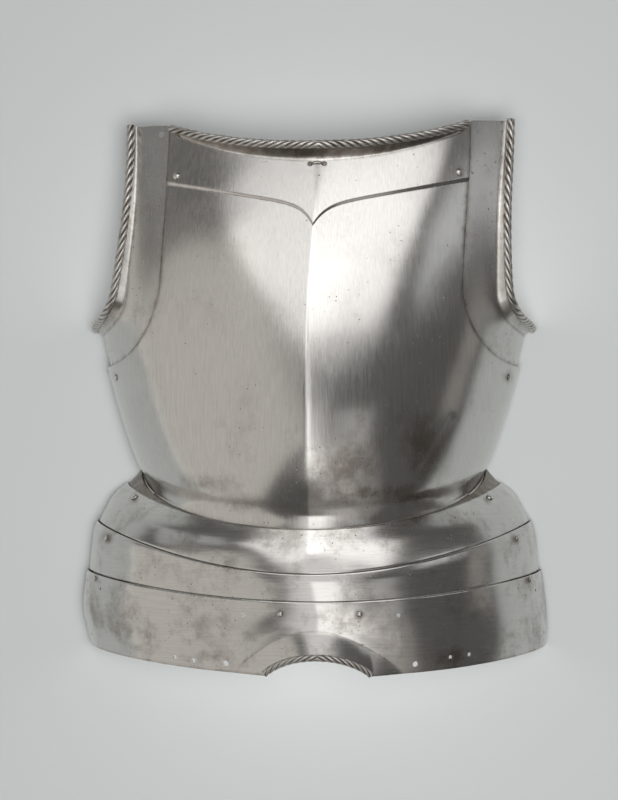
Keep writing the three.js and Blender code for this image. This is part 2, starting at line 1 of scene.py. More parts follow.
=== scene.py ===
"""Steel breastplate with a laminated skirt, lying on its back edges with the ridge up.

Every plate is cut from one smooth form, a row of half ellipses from the neck to the hem. A place
on the form is (u, v): u runs from -1 at the left edge over 0 on the ridge to 1 at the right edge,
and v is the length along the ridge from the neck. The form is worked out in millimetres, as the
solids are, and the meshes are made in metres.
"""
import logging
import math
from collections.abc import Callable, Sequence
from dataclasses import dataclass, field
from enum import Enum

import bpy
import numpy as np
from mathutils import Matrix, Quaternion, Vector


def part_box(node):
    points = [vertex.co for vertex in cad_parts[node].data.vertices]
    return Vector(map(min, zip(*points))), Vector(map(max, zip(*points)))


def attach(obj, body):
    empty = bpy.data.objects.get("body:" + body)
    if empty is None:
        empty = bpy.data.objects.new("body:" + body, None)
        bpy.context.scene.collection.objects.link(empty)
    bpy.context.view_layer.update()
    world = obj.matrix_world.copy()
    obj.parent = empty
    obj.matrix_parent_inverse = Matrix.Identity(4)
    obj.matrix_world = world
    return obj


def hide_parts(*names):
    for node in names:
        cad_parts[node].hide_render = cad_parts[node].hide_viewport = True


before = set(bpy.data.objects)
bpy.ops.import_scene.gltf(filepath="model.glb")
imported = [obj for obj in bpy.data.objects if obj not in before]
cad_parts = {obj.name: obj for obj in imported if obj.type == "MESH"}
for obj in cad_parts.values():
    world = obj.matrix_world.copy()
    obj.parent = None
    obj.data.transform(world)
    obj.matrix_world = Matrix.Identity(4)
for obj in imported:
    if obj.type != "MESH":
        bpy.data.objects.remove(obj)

LOG = logging.getLogger("breastplate")
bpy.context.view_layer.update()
MM = 0.001
SHARP_ANGLE = math.radians(38.0)
DRILL_REACH = 9.0
ROD_CORNERS = 24
PLUG_DEPTHS = (-1.4, -0.1)
RIVET_SOIL = (5.0, 5.0, 1.3)


# ------------------------------------------------------------------------------ the form


@dataclass(frozen=True)
class Station:
    """One cross section of the form, half an ellipse that stands on its two side edges.

    mid and side are its heights Y on the ridge and at the side edges, half is its half width,
    rise and foot are its heights Z on the ridge and at the side edges, ridge is how far the
    crease stands up and bow is how late the section turns towards its sides.
    """

    name: str
    mid: float
    side: float
    half: float
    rise: float
    foot: float
    ridge: float
    bow: float


UPPER_FORM = (
    Station("neck", 209.0, 311.0, 187.0, 118.0, 9.0, 4.0, 1.0),
    Station("collar", 150.7, 205.0, 195.0, 138.0, 8.0, 6.0, 1.0),
    Station("chest", 83.9, 112.0, 199.5, 155.0, 3.0, 7.0, 1.1),
    Station("breast", 45.0, 64.0, 197.5, 163.0, 0.0, 8.0, 1.1),
    Station("armpit", 14.6, 27.0, 189.5, 168.0, 0.0, 8.0, 1.1),
    Station("ribs", -28.4, -2.8, 181.0, 171.0, 0.0, 7.0, 1.1),
    Station("belly", -62.8, -28.0, 172.5, 167.0, 0.0, 5.5, 1.0),
    Station("tuck", -89.0, -50.0, 164.0, 157.0, 0.0, 4.0, 1.0),
    Station("fold", -102.3, -60.0, 159.8, 150.0, 0.0, 3.0, 1.0),
    Station("waist", -114.5, -66.0, 158.5, 150.0, 0.0, 2.5, 1.0),
)
LOWER_FORM = (
    UPPER_FORM[-1],
    Station("notch", -122.0, -77.0, 168.0, 153.5, 0.0, 2.2, 1.25),
    Station("hip", -131.0, -88.0, 181.0, 158.5, 0.0, 2.0, 1.55),
    Station("flank", -142.0, -100.0, 190.0, 164.0, 0.0, 2.0, 1.85),
    Station("second", -153.2, -113.4, 197.5, 168.0, 0.0, 2.0, 2.1),
    Station("third", -177.0, -158.0, 206.6, 172.0, 0.0, 1.8, 2.1),
    Station("skirt", -208.0, -197.0, 212.0, 172.5, 0.0, 1.5, 2.0),
    Station("hem", -240.7, -225.4, 208.8, 170.0, 0.0, 1.5, 2.0),
)


def ease(value: np.ndarray | float, low: float, high: float) -> np.ndarray | float:
    """Rises smoothly from 0 at low to 1 at high.

    Args:
        value: Where it is wanted.
        low: Where it is 0.
        high: Where it is 1.

    Returns:
        The share, of the same shape as value.
    """
    share = np.clip((value - low) / (high - low), 0.0, 1.0)
    return share * share * (3.0 - 2.0 * share)


def blend(low: np.ndarray | float, high: np.ndarray | float, share: np.ndarray | float) -> np.ndarray | float:
    """Goes from low at share 0 to high at share 1."""
    return low + (high - low) * share


class NaturalSpline:
    """A natural cubic spline through values at rising knots."""

    def __init__(self, knots: Sequence[float], values: Sequence[float]) -> None:
        """Works out the second derivatives at the knots.

        Args:
            knots: Rising places.
            values: The value at each of them.
        """
        self.knots = np.asarray(knots, dtype=float)
        self.values = np.asarray(values, dtype=float)
        spans = np.diff(self.knots)
        slopes = np.diff(self.values) / spans
        count = len(self.knots)
        system = np.eye(count)
        turns = np.zeros(count)
        for i in range(1, count - 1):
            system[i, i - 1 : i + 2] = spans[i - 1], 2.0 * (spans[i - 1] + spans[i]), spans[i]
            turns[i] = 6.0 * (slopes[i] - slopes[i - 1])
        self.bends = np.linalg.solve(system, turns)

    def __call__(self, at: np.ndarray | float) -> np.ndarray:
        """Reads the spline.

        Args:
            at: Where it is read; past its ends the last cubic goes on.

        Returns:
            The values there.
        """
        at = np.asarray(at, dtype=float)
        i = np.clip(np.searchsorted(self.knots, at) - 1, 0, len(self.knots) - 2)
        span = self.knots[i + 1] - self.knots[i]
        a = (self.knots[i + 1] - at) / span
        b = 1.0 - a
        bow = ((a**3 - a) * self.bends[i] + (b**3 - b) * self.bends[i + 1]) * span**2 / 6.0
        return a * self.values[i] + b * self.values[i + 1] + bow


class Loft:
    """A stack of stations joined by splines along the ridge."""

    COLUMNS = ("mid", "side", "half", "rise", "foot", "ridge", "bow")

    def __init__(self, stations: Sequence[Station], start: float) -> None:
        """Measures the ridge and fits the splines.

        Args:
            stations: The cross sections from the neck down.
            start: The ridge's length at the first one.
        """
        knots = [start]
        for above, below in zip(stations, stations[1:]):
            knots.append(knots[-1] + math.hypot(below.mid - above.mid, below.rise - above.rise))
        self.at = {station.name: knot for station, knot in zip(stations, knots)}
        self.end = knots[-1]
        self.splines = {
            column: NaturalSpline(knots, [getattr(station, column) for station in stations])
            for column in self.COLUMNS
        }

    def read(self, v: np.ndarray) -> dict[str, np.ndarray]:
        """Gives every column of the section at v."""
        return {column: spline(v) for column, spline in self.splines.items()}


@dataclass
class Form:
    """The smooth form that all the plates follow, in millimetres."""

    ridge_spread: float = 40.0
    ridge_round: float = 1.2
    neck_round: float = 6.0
    crease_drift: float = 9.0
    hem_lean: float = 4.0
    chest_lean: float = 8.0
    chest_skew: float = 0.013
    lean_from: float = 60.0
    lean_to: float = 245.0
    shift: np.ndarray = field(default_factory=lambda: np.zeros(3))

    def __post_init__(self) -> None:
        """Lofts the chest and the skirt, which meet in a fold at the waist."""
        self.upper = Loft(UPPER_FORM, 0.0)
        self.lower = Loft(LOWER_FORM, self.upper.end)
        self.at = {**self.upper.at, **self.lower.at}
        self.waist = self.at["waist"]
        self.second = self.at["second"]
        self.third = self.at["third"]
        self.hem = self.at["hem"]

    def section(self, v: np.ndarray) -> dict[str, np.ndarray]:
        """Gives the section's measures at v, from the chest or from the skirt."""
        above, below = self.upper.read(v), self.lower.read(v)
        return {name: np.where(v <= self.waist, above[name], below[name]) for name in above}

    def moved(self, v: np.ndarray, level: np.ndarray) -> np.ndarray:
        """Gives how far the skirt's crease and hem stand over to the right."""
        drift = self.crease_drift * ease(v, self.waist + 20.0, self.third + 20.0)
        return self.hem_lean * ease(v, self.third + 15.0, self.hem) + drift * level * level

    def point(self, u: np.ndarray, v: np.ndarray) -> np.ndarray:
        """Gives the points of the form.

        Args:
            u: Places across.
            v: Places down the ridge.

        Returns:
            Points, with the three coordinates last.
        """
        u, v = np.broadcast_arrays(np.asarray(u, dtype=float), np.asarray(v, dtype=float))
        form = self.section(v)
        level = np.maximum(np.cos(u * math.pi / 2.0), 0.0)
        x = form["half"] * np.sin(u * math.pi / 2.0)
        blunt = self.ridge_round + self.neck_round * (1.0 - ease(v, 0.0, 85.0))
        away = np.sqrt(x * x + blunt**2) - self.ridge_round
        crease = form["ridge"] * np.exp(-away / self.ridge_spread)
        z = form["foot"] + (form["rise"] - form["ridge"] - form["foot"]) * level + crease
        y = form["mid"] + (form["side"] - form["mid"]) * (1.0 - level ** form["bow"])
        return np.stack([x + self.moved(v, level), y, z], axis=-1)

    def normal(self, u: np.ndarray, v: np.ndarray) -> np.ndarray:
        """Gives the form's outward normals.

        Args:
            u: Places across.
            v: Places down the ridge.

        Returns:
            Unit vectors, with the three coordinates last.
        """
        u, v = np.broadcast_arrays(np.asarray(u, dtype=float), np.asarray(v, dtype=float))
        step = np.where(v <= self.waist, -0.5, 0.5)
        ahead, behind = np.minimum(u + 0.003, 1.0), np.maximum(u - 0.003, -1.0)
        across = self.point(ahead, v) - self.point(behind, v)
        along = (self.point(u, v + step) - self.point(u, v)) * -np.sign(step)[..., None]
        normal = np.cross(across, along)
        normal[..., 2] = np.where(np.abs(u) > 0.999, 0.0, normal[..., 2])
        return normal / np.linalg.norm(normal, axis=-1, keepdims=True)

    def offset(self, u: np.ndarray, v: np.ndarray, height: np.ndarray | float) -> np.ndarray:
        """Gives points that stand off the form by height."""
        return self.point(u, v) + self.normal(u, v) * np.asarray(height, dtype=float)[..., None]

    def across(self, x: np.ndarray, v: np.ndarray) -> np.ndarray:
        """Finds the places across that the front view shows at x.

        Args:
            x: Distance to the right of the ridge.
            v: Places down the ridge.

        Returns:
            The u of each.
        """
        half = self.section(v)["half"]
        u = np.zeros_like(np.asarray(v, dtype=float))
        for _ in range(5):
            level = np.cos(u * math.pi / 2.0)
            u = np.arcsin(np.clip((x - self.moved(v, level)) / half, -1.0, 1.0)) * 2.0 / math.pi
        return u

    def place(self, x: np.ndarray | float, y: np.ndarray | float) -> tuple[np.ndarray, np.ndarray]:
        """Finds the place on the form that the front view shows at (x, y).

        Args:
            x: Distance to the right of the ridge.
            y: Height towards the neck.

        Returns:
            u and v.
        """
        x, y = np.broadcast_arrays(np.asarray(x, dtype=float), np.asarray(y, dtype=float))
        low, high = np.full(x.shape, -12.0), np.full(x.shape, self.hem + 10.0)
        for _ in range(36):
            middle = (low + high) / 2.0
            past = self.point(self.across(x, middle), middle)[..., 1] < y
            high = np.where(past, middle, high)
            low = np.where(past, low, middle)
        v = (low + high) / 2.0
        return self.across(x, v), v

    def settle(self, points: np.ndarray) -> np.ndarray:
        """Leans the upper chest to the right and lifts it there, as hammered work does.

        Args:
            points: Points of the upright chest.

        Returns:
            The same points, moved.
        """
        share = ease(points[..., 1], self.lean_from, self.lean_to)
        moved = points.copy()
        moved[..., 0] += self.chest_lean * share
        moved[..., 1] += self.chest_skew * points[..., 0] * share
        return moved


FORM = Form()
LYING_HEIGHT = 0.6


# ------------------------------------------------------------------------------ meshes


@dataclass
class Sheet:
    """A grid of surface points from left to right and from the neck down, in millimetres.

    marks holds what each point carries for its finish, such as how near it is to a seam.
    """

    points: np.ndarray
    thickness: float
    marks: dict[str, np.ndarray] = field(default_factory=dict)

    def normals(self) -> np.ndarray:
        """Works out the grid's outward normals.

        Returns:
            A unit vector for each point.
        """
        across = np.gradient(self.points, axis=1)
        along = -np.gradient(self.points, axis=0)
        normal = np.cross(across, along)
        length = np.linalg.norm(normal, axis=-1, keepdims=True)
        return normal / np.maximum(length, 1e-9)

    def shell(self, settled: bool) -> tuple[np.ndarray, np.ndarray]:
        """Closes the sheet into a plate with an inner face and rims.

        Args:
            settled: Whether the chest's lean is put on.

        Returns:
            The vertices and the quads.
        """
        rows, columns = self.points.shape[:2]
        normal = self.normals()
        lying = self.points[..., 2] < LYING_HEIGHT
        normal[..., 2] = np.where(lying, 0.0, normal[..., 2])
        normal /= np.linalg.norm(normal, axis=-1, keepdims=True)
        outer = self.points.copy()
        inner = outer - normal * self.thickness
        for face in (outer, inner):
            face[..., 2] = np.where(lying, 0.0, np.maximum(face[..., 2], 0.0))
        vertices = np.concatenate([outer.reshape(-1, 3), inner.reshape(-1, 3)])
        if settled:
            vertices = FORM.settle(vertices)
        index = np.arange(rows * columns).reshape(rows, columns)
        under = index + rows * columns
        faces = [
            quads(index[:-1, :-1], index[1:, :-1], index[1:, 1:], index[:-1, 1:]),
            quads(under[:-1, :-1], under[:-1, 1:], under[1:, 1:], under[1:, :-1]),
            quads(index[:-1, 0], under[:-1, 0], under[1:, 0], index[1:, 0]),
            quads(index[:-1, -1], index[1:, -1], under[1:, -1], under[:-1, -1]),
            quads(index[0, :-1], index[0, 1:], under[0, 1:], under[0, :-1]),
            quads(index[-1, :-1], under[-1, :-1], under[-1, 1:], index[-1, 1:]),
        ]
        return vertices, np.concatenate(faces)


def quads(*corners: np.ndarray) -> np.ndarray:
    """Stacks four index arrays into rows of quads."""
    return np.stack([corner.ravel() for corner in corners], axis=-1)


def framed_mesh(
    name: str, points: np.ndarray, edges: Sequence[Sequence[int]] = (), faces: Sequence[Sequence[int]] = ()
) -> bpy.types.Mesh:
    """Makes a mesh in metres, in the solids' frame.

    Args:
        name: The mesh's name.
        points: Its points, in the form's millimetres.
        edges: Pairs of point numbers.
        faces: Rows of point numbers.

    Returns:
        The mesh.
    """
    mesh = bpy.data.meshes.new(name)
    mesh.from_pydata(((points + FORM.shift) * MM).tolist(), edges, faces)
    return mesh


def linked(name: str, data: bpy.types.ID) -> bpy.types.Object:
    """Makes an object of a mesh, lamp or camera and links it to the scene.

    Args:
        name: The object's name.
        data: What it shows.

    Returns:
        The object, at the origin.
    """
    obj = bpy.data.objects.new(name, data)
    bpy.context.scene.collection.objects.link(obj)
    return obj


def smooth(mesh: bpy.types.Mesh) -> None:
    """Shades a mesh smooth, but for its sharp edges."""
    mesh.shade_smooth()
    mesh.set_sharp_from_angle(angle=SHARP_ANGLE)


def mark_points(mesh: bpy.types.Mesh, mark: str, values: np.ndarray) -> None:
    """Stores a number or a vector at every point of a mesh.

    Args:
        mesh: The mesh.
        mark: The attribute's name.
        values: One number or row for each point.
    """
    kind, key = ("FLOAT", "value") if values.ndim == 1 else ("FLOAT_VECTOR", "vector")
    attribute = mesh.attributes.new(mark, kind, "POINT")
    attribute.data.foreach_set(key, values.ravel().astype(np.float32))


def mesh_object(
    name: str, points: np.ndarray, faces: np.ndarray | Sequence[Sequence[int]]
) -> bpy.types.Object:
    """Makes a smooth-shaded mesh object at the origin.

    Args:
        name: The piece's name.
        points: Its points, in millimetres.
        faces: Rows of point numbers.

    Returns:
        The new object, linked to the scene.
    """
    mesh = framed_mesh(name, points, faces=[list(map(int, face)) for face in faces])
    mesh.validate()
    smooth(mesh)
    return linked(name, mesh)


def sheet_object(name: str, sheet: Sheet, finish: "Steel", settled: bool = False) -> bpy.types.Object:
    """Makes a plate's object and gives it the sheet's marks as attributes.

    Args:
        name: The piece's name.
        sheet: The outer surface and its thickness.
        finish: The plate's finish.
        settled: Whether the chest's lean is put on.

    Returns:
        The new object.
    """
    vertices, faces = sheet.shell(settled)
    obj = mesh_object(name, vertices, faces)
    obj.data.materials.append(finish.material())
    for mark, values in sheet.marks.items():
        mark_points(obj.data, mark, np.tile(values.ravel(), 2))
    return obj


def bore(obj: bpy.types.Object, holes: Sequence["Hole"], settled: bool = False) -> None:
    """Drills round holes through a plate.

    Args:
        obj: The plate.
        holes: What is drilled.
        settled: Whether the plate has the chest's lean.
    """
    vertices, faces, count = [], [], 0
    for hole in holes:
        points, sides = hole.rod(-DRILL_REACH, DRILL_REACH, settled)
        vertices.append(points)
        faces += [[count + corner for corner in side] for side in sides]
        count += len(points)
    mesh = framed_mesh("drill", np.concatenate(vertices), faces=faces)
    mesh.validate()
    drill = linked("drill", mesh)
    cut = obj.modifiers.new("holes", "BOOLEAN")
    cut.operation = "DIFFERENCE"
    cut.solver = "MANIFOLD"
    cut.object = drill
    bake_modifiers(obj)
    bpy.data.objects.remove(drill)
    bpy.data.meshes.remove(mesh)


def bake_modifiers(obj: bpy.types.Object) -> None:
    """Turns an object's modifiers into its own plain mesh.

    Args:
        obj: The object.
    """
    graph = bpy.context.evaluated_depsgraph_get()
    graph.update()
    shown = obj.evaluated_get(graph)
    mesh = bpy.data.meshes.new_from_object(shown, preserve_all_data_layers=True, depsgraph=graph)
    obj.modifiers.clear()
    old = obj.data
    obj.data = mesh
    bpy.data.meshes.remove(old)
    mesh.name = obj.name
    smooth(mesh)


@dataclass(frozen=True)
class Hole:
    """A round hole, at x from the middle and y towards the neck."""

    x: float
    y: float
    radius: float

    def seat(self, settled: bool) -> tuple[np.ndarray, np.ndarray]:
        """Finds the hole's place on the form.

        Args:
            settled: Whether the plate has the chest's lean.

        Returns:
            The middle of the hole and the form's normal there.
        """
        u, v = FORM.place(self.x, self.y)
        centre = FORM.point(u, v)
        if settled:
            centre = FORM.settle(centre)
        return centre, FORM.normal(u, v)

    def rod(self, low: float, high: float, settled: bool) -> tuple[np.ndarray, list[list[int]]]:
        """Gives a rod as wide as the hole, along the form's normal.

        Args:
            low: The height of its inner end over the form.
            high: The height of its outer end over the form.
            settled: Whether the plate has the chest's lean.

        Returns:
            Its points, and its faces as lists of point numbers.
        """
        centre, normal = self.seat(settled)
        side = np.cross(normal, [0.0, 1.0, 0.0])
        side /= np.linalg.norm(side)
        turn = (np.arange(ROD_CORNERS) * 2.0 * math.pi / ROD_CORNERS)[:, None]
        ring = self.radius * (np.cos(turn) * side + np.sin(turn) * np.cross(normal, side))
        base, top = list(range(ROD_CORNERS)), list(range(ROD_CORNERS, 2 * ROD_CORNERS))
        walls = [[base[i - 1], base[i], top[i], top[i - 1]] for i in range(ROD_CORNERS)]
        points = np.concatenate([centre + ring + normal * low, centre + ring + normal * high])
        return points, [base[::-1], top, *walls]


def both_sides(x: float, y: float, radius: float, middle: float = 0.0) -> list[Hole]:
    """Gives a pair of holes, x to each side of the middle."""
    return [Hole(middle - x, y, radius), Hole(middle + x, y, radius)]


# ------------------------------------------------------------------------------ node tools


class Signal:
    """A value in a node tree. Python's operators on it add Math nodes."""

    def __init__(self, graph: "Graph", socket: bpy.types.NodeSocket) -> None:
        """Wraps an output socket of the tree."""
        self.graph = graph
        self.socket = socket

    def math(self, operation: str, *values: "Signal | float") -> "Signal":
        """Adds a Math node on this value and others.

        Args:
            operation: The node's operation.
            values: Its further operands.

        Returns:
            The node's result.
        """
        inputs = dict(enumerate((self, *values)))
        return self.graph.value("ShaderNodeMath", {"operation": operation}, inputs)

    def __add__(self, other: "Signal | float") -> "Signal":
        """Adds."""
        return self.math("ADD", other)

    def __sub__(self, other: "Signal | float") -> "Signal":
        """Subtracts."""
        return self.math("SUBTRACT", other)

    def __rsub__(self, other: float) -> "Signal":
        """Subtracts this value from a number."""
        return self.math("MULTIPLY_ADD", -1.0, other)

    def __mul__(self, other: "Signal | float") -> "Signal":
        """Multiplies."""
        return self.math("MULTIPLY", other)

    def __truediv__(self, other: "Signal | float") -> "Signal":
        """Divides."""
        return self.math("DIVIDE", other)

    def __pow__(self, power: float) -> "Signal":
        """Raises to a power."""
        return self.math("POWER", power)

    __radd__ = __add__

    def between(self, low: float, high: float) -> "Signal":
        """Rises smoothly from 0 at low to 1 at high, or falls where low is the greater.

        Args:
            low: Where the result is 0.
            high: Where it is 1.

        Returns:
            The share.
        """
        rising = low < high
        inputs = {0: self, 1: min(low, high), 2: max(low, high)}
        share = self.graph.value("ShaderNodeMapRange", {"interpolation_type": "SMOOTHSTEP"}, inputs)
        return share if rising else 1.0 - share


Settings = dict[str, object] | None
Inputs = dict[str | int, object] | None


class Graph:
    """A node tree that is built by code."""

    def __init__(self, tree: bpy.types.NodeTree) -> None:
        """Takes the tree that the nodes go into."""
        self.tree = tree

    def node(self, kind: str, settings: Settings = None, inputs: Inputs = None) -> bpy.types.Node:
        """Adds a node.

        Args:
            kind: The node's type.
            settings: Its own properties, set first.
            inputs: Values or links for its sockets, by name or number.

        Returns:
            The node.
        """
        node = self.tree.nodes.new(kind)
        for key, value in (settings or {}).items():
            setattr(node, key, value)
        for key, value in (inputs or {}).items():
            socket = node.inputs[key]
            if isinstance(value, Signal):
                self.tree.links.new(value.socket, socket)
            elif isinstance(value, bpy.types.NodeSocket):
                self.tree.links.new(value, socket)
            else:
                socket.default_value = value
        return node

    def result(self, kind: str, settings: Settings = None, inputs: Inputs = None) -> bpy.types.NodeSocket:
        """Adds a node and gives its first result."""
        return self.node(kind, settings, inputs).outputs[0]

    def value(self, kind: str, settings: Settings = None, inputs: Inputs = None) -> Signal:
        """Adds a node and gives its first result as a value."""
        return Signal(self, self.result(kind, settings, inputs))


class Shader(Graph):
    """Builds one material's node tree."""

    def __init__(self, name: str) -> None:
        """Makes an empty material.

        Args:
            name: The material's name.
        """
        self.material = bpy.data.materials.new(name)
        self.material.use_nodes = True
        super().__init__(self.material.node_tree)
        self.tree.nodes.clear()
        self.place = self.node("ShaderNodeTexCoord").outputs["Object"]

    def mark(self, name: str) -> Signal:
        """Reads a mark that the mesh carries."""
        return Signal(self, self.node("ShaderNodeAttribute", {"attribute_name": name}).outputs["Fac"])

    def noise(self, scale: tuple[float, float, float], detail: float, roughness: float) -> Signal:
        """Gives soft noise.

        Args:
            scale: Its waves per metre along each axis.
            detail: How many finer layers it has.
            roughness: How strong they are.

        Returns:
            Values about one half.
        """
        stretched = self.result("ShaderNodeMapping", None, {"Vector": self.place, "Scale": scale})
        inputs = {"Vector": stretched, "Scale": 1.0, "Detail": detail, "Roughness": roughness}
        return self.value("ShaderNodeTexNoise", None, inputs)

    def specks(self, per_metre: float, size: float, share: float = 0.35) -> Signal:
        """Gives scattered round specks.

        Args:
            per_metre: Cells along a metre.
            size: Radius of the largest, in cells.
            share: The share of cells that have one.

        Returns:
            1 in the middle of a speck and 0 off it.
        """
        cells = self.node("ShaderNodeTexVoronoi", None, {"Vector": self.place, "Scale": per_metre})
        draw = self.node("ShaderNodeSeparateColor", None, {0: cells.outputs["Color"]})
        chosen = Signal(self, draw.outputs[0]).between(share, share - 0.05)
        near = Signal(self, cells.outputs["Distance"]) - Signal(self, draw.outputs[1]) * size
        return near.between(0.06, -0.04) * chosen

    def tint(self, low: object, high: object, share: Signal) -> bpy.types.NodeSocket:
        """Mixes two colours by a share."""
        return self.node("ShaderNodeMix", {"data_type": "RGBA"}, {0: share, 6: low, 7: high}).outputs[2]

    def finish(self, constants: dict[str, object], varied: dict[str, object]) -> bpy.types.Material:
        """Closes the tree with a Principled surface.

        Args:
            constants: Values that are the same all over.
            varied: What changes over the surface.

        Returns:
            The material.
        """
        surface = self.result("ShaderNodeBsdfPrincipled", None, {**constants, **varied})
        self.node("ShaderNodeOutputMaterial", None, {"Surface": surface})
        return self.material


class Recipe(Graph):
    """A Geometry Nodes tree with named inputs that turns a carrier mesh into a finished one."""

    def __init__(self, name: str) -> None:
        """Makes an empty tree.

        Args:
            name: The tree's name.
        """
        super().__init__(bpy.data.node_groups.new(name, "GeometryNodeTree"))
        self.names: dict[str, str] = {}
        self.tree.interface.new_socket("Mesh", in_out="OUTPUT", socket_type="NodeSocketGeometry")
        self.declare("Carrier", "Geometry")
        self.declare("Finish", "Material")

    def declare(self, name: str, kind: str) -> None:
        """Adds an input of a kind, such as Float, to the tree."""
        socket = self.tree.interface.new_socket(name, in_out="INPUT", socket_type=f"NodeSocket{kind}")
        self.names[name] = socket.identifier

    def entry(self, name: str) -> Signal:
        """Reads one of the tree's inputs."""
        return Signal(self, self.node("NodeGroupInput").outputs[name])

    def close(self, mesh: bpy.types.NodeSocket) -> None:
        """Ends the tree: everything real, smooth and in its finish.

        Args:
            mesh: What the tree has made.
        """
        shaded = self.result("GeometryNodeSetShadeSmooth", None, {"Geometry": mesh})
        real = self.result("GeometryNodeRealizeInstances", None, {"Geometry": shaded})
        inputs = {"Geometry": real, "Material": self.entry("Finish")}
        self.node("NodeGroupOutput", None, {0: self.result("GeometryNodeSetMaterial", None, inputs)})

    def run(self, name: str, carrier: bpy.types.Mesh, values: dict[str, object]) -> bpy.types.Object:
        """Runs the tree once and keeps its result as a plain mesh.

        Args:
            name: The new piece's name.
            carrier: What the tree starts from.
            values: The tree's inputs by name.

        Returns:
            The new piece.
        """
        obj = linked(name, carrier)
        modifier = obj.modifiers.new(name, "NODES")
        modifier.node_group = self.tree
        for key, value in values.items():
            modifier[self.names[key]] = value
        bake_modifiers(obj)
        return obj


Colour = tuple[float, float, float, float]


class Grain(Enum):
    """The way of the polishing scratches, as noise waves per metre."""

    UPRIGHT = (850.0, 40.0, 500.0)
    LEVEL = (40.0, 850.0, 40.0)
    NONE = (300.0, 300.0, 300.0)


@dataclass(frozen=True)
class Steel:
    """Polished and handled steel.

    clean and brown are the bright metal and its patina, whose brown also paints shade where the seam
    mark asks for it, roughness is that of the clean metal, grain the way of its scratches, scratch
    their depth, pits how dark its pits are, and tarnish how much patina it has away from the seams.
    """

    name: str
    clean: Colour = (0.62, 0.605, 0.58, 1.0)
    brown: Colour = (0.17, 0.135, 0.105, 1.0)
    roughness: float = 0.19
    grain: Grain = Grain.UPRIGHT
    scratch: float = 0.10
    pits: float = 0.8
    tarnish: float = 0.25

    def material(self) -> bpy.types.Material:
        """Gives the material, whose colour, roughness and relief follow its grain, its pits and the seam
        mark, which carries seam patina and painted shade.

        Returns:
            The material, the same one each time.
        """
        if self.name in bpy.data.materials:
            return bpy.data.materials[self.name]
        shader = Shader(self.name)
        grain = shader.noise(self.grain.value, 4.0, 0.6)
        broad = shader.noise((26.0, 22.0, 26.0), 5.0, 0.62)
        patch = shader.noise((95.0, 80.0, 95.0), 6.0, 0.7)
        seam, wear = shader.mark("seam"), shader.mark("wear")
        cloud = broad * 0.6 + patch * 0.4
        stain = (cloud + wear * 0.13).between(0.50, 0.72) * (self.tarnish + wear * 0.45)
        # The seam mark browns the metal. It is patina at the seams and in the rope's grooves, and painted
        # shade along the neck band's step, at the waist fold, over the chest's sides and over the whole waist
        # band.
        seam_soil_and_shade = (seam * (patch * 1.3 + 0.2)).between(0.18, 0.95)
        worn = (self.tarnish - 0.14) * 0.3
        pits = shader.specks(300.0, 0.16) * (broad + wear * 0.12 + worn).between(0.47, 0.62)
        fine_pits = shader.specks(620.0, 0.12) * (patch + wear * 0.16 + worn).between(0.47, 0.62)
        brown = (stain + seam_soil_and_shade * 0.85).math("MINIMUM", 1.0)
        streak = (grain - 0.5) * 0.34 + (patch - 0.5) * 0.08
        shade = (1.0 + streak - (pits * self.pits + fine_pits * (self.pits * 0.6))).math("MAXIMUM", 0.12)
        metal = shader.tint(self.clean, self.brown, brown)
        shaded = shader.result("ShaderNodeVectorMath", {"operation": "SCALE"}, {0: metal, "Scale": shade})
        rough = self.roughness + (grain - 0.5) * 0.08 + (broad - 0.5) * 0.06 + brown * 0.16 + pits * 0.3
        relief = grain * self.scratch - pits * 0.8 - fine_pits * 0.4 + patch * 0.06
        bump = shader.result("ShaderNodeBump", None, {"Strength": 0.35, "Distance": 0.0004, "Height": relief})
        varied = {"Base Color": shaded, "Roughness": rough.math("MAXIMUM", 0.08), "Normal": bump}
        return shader.finish({"Metallic": 1.0}, varied)


@dataclass(frozen=True)
class Roll:
    """Sizes of a roll in millimetres: its radius, and the depth and spacing of its grooves."""

    radius: float = 3.75
    groove: float = 1.15
    spacing: float = 7.2
    strands: int = 4


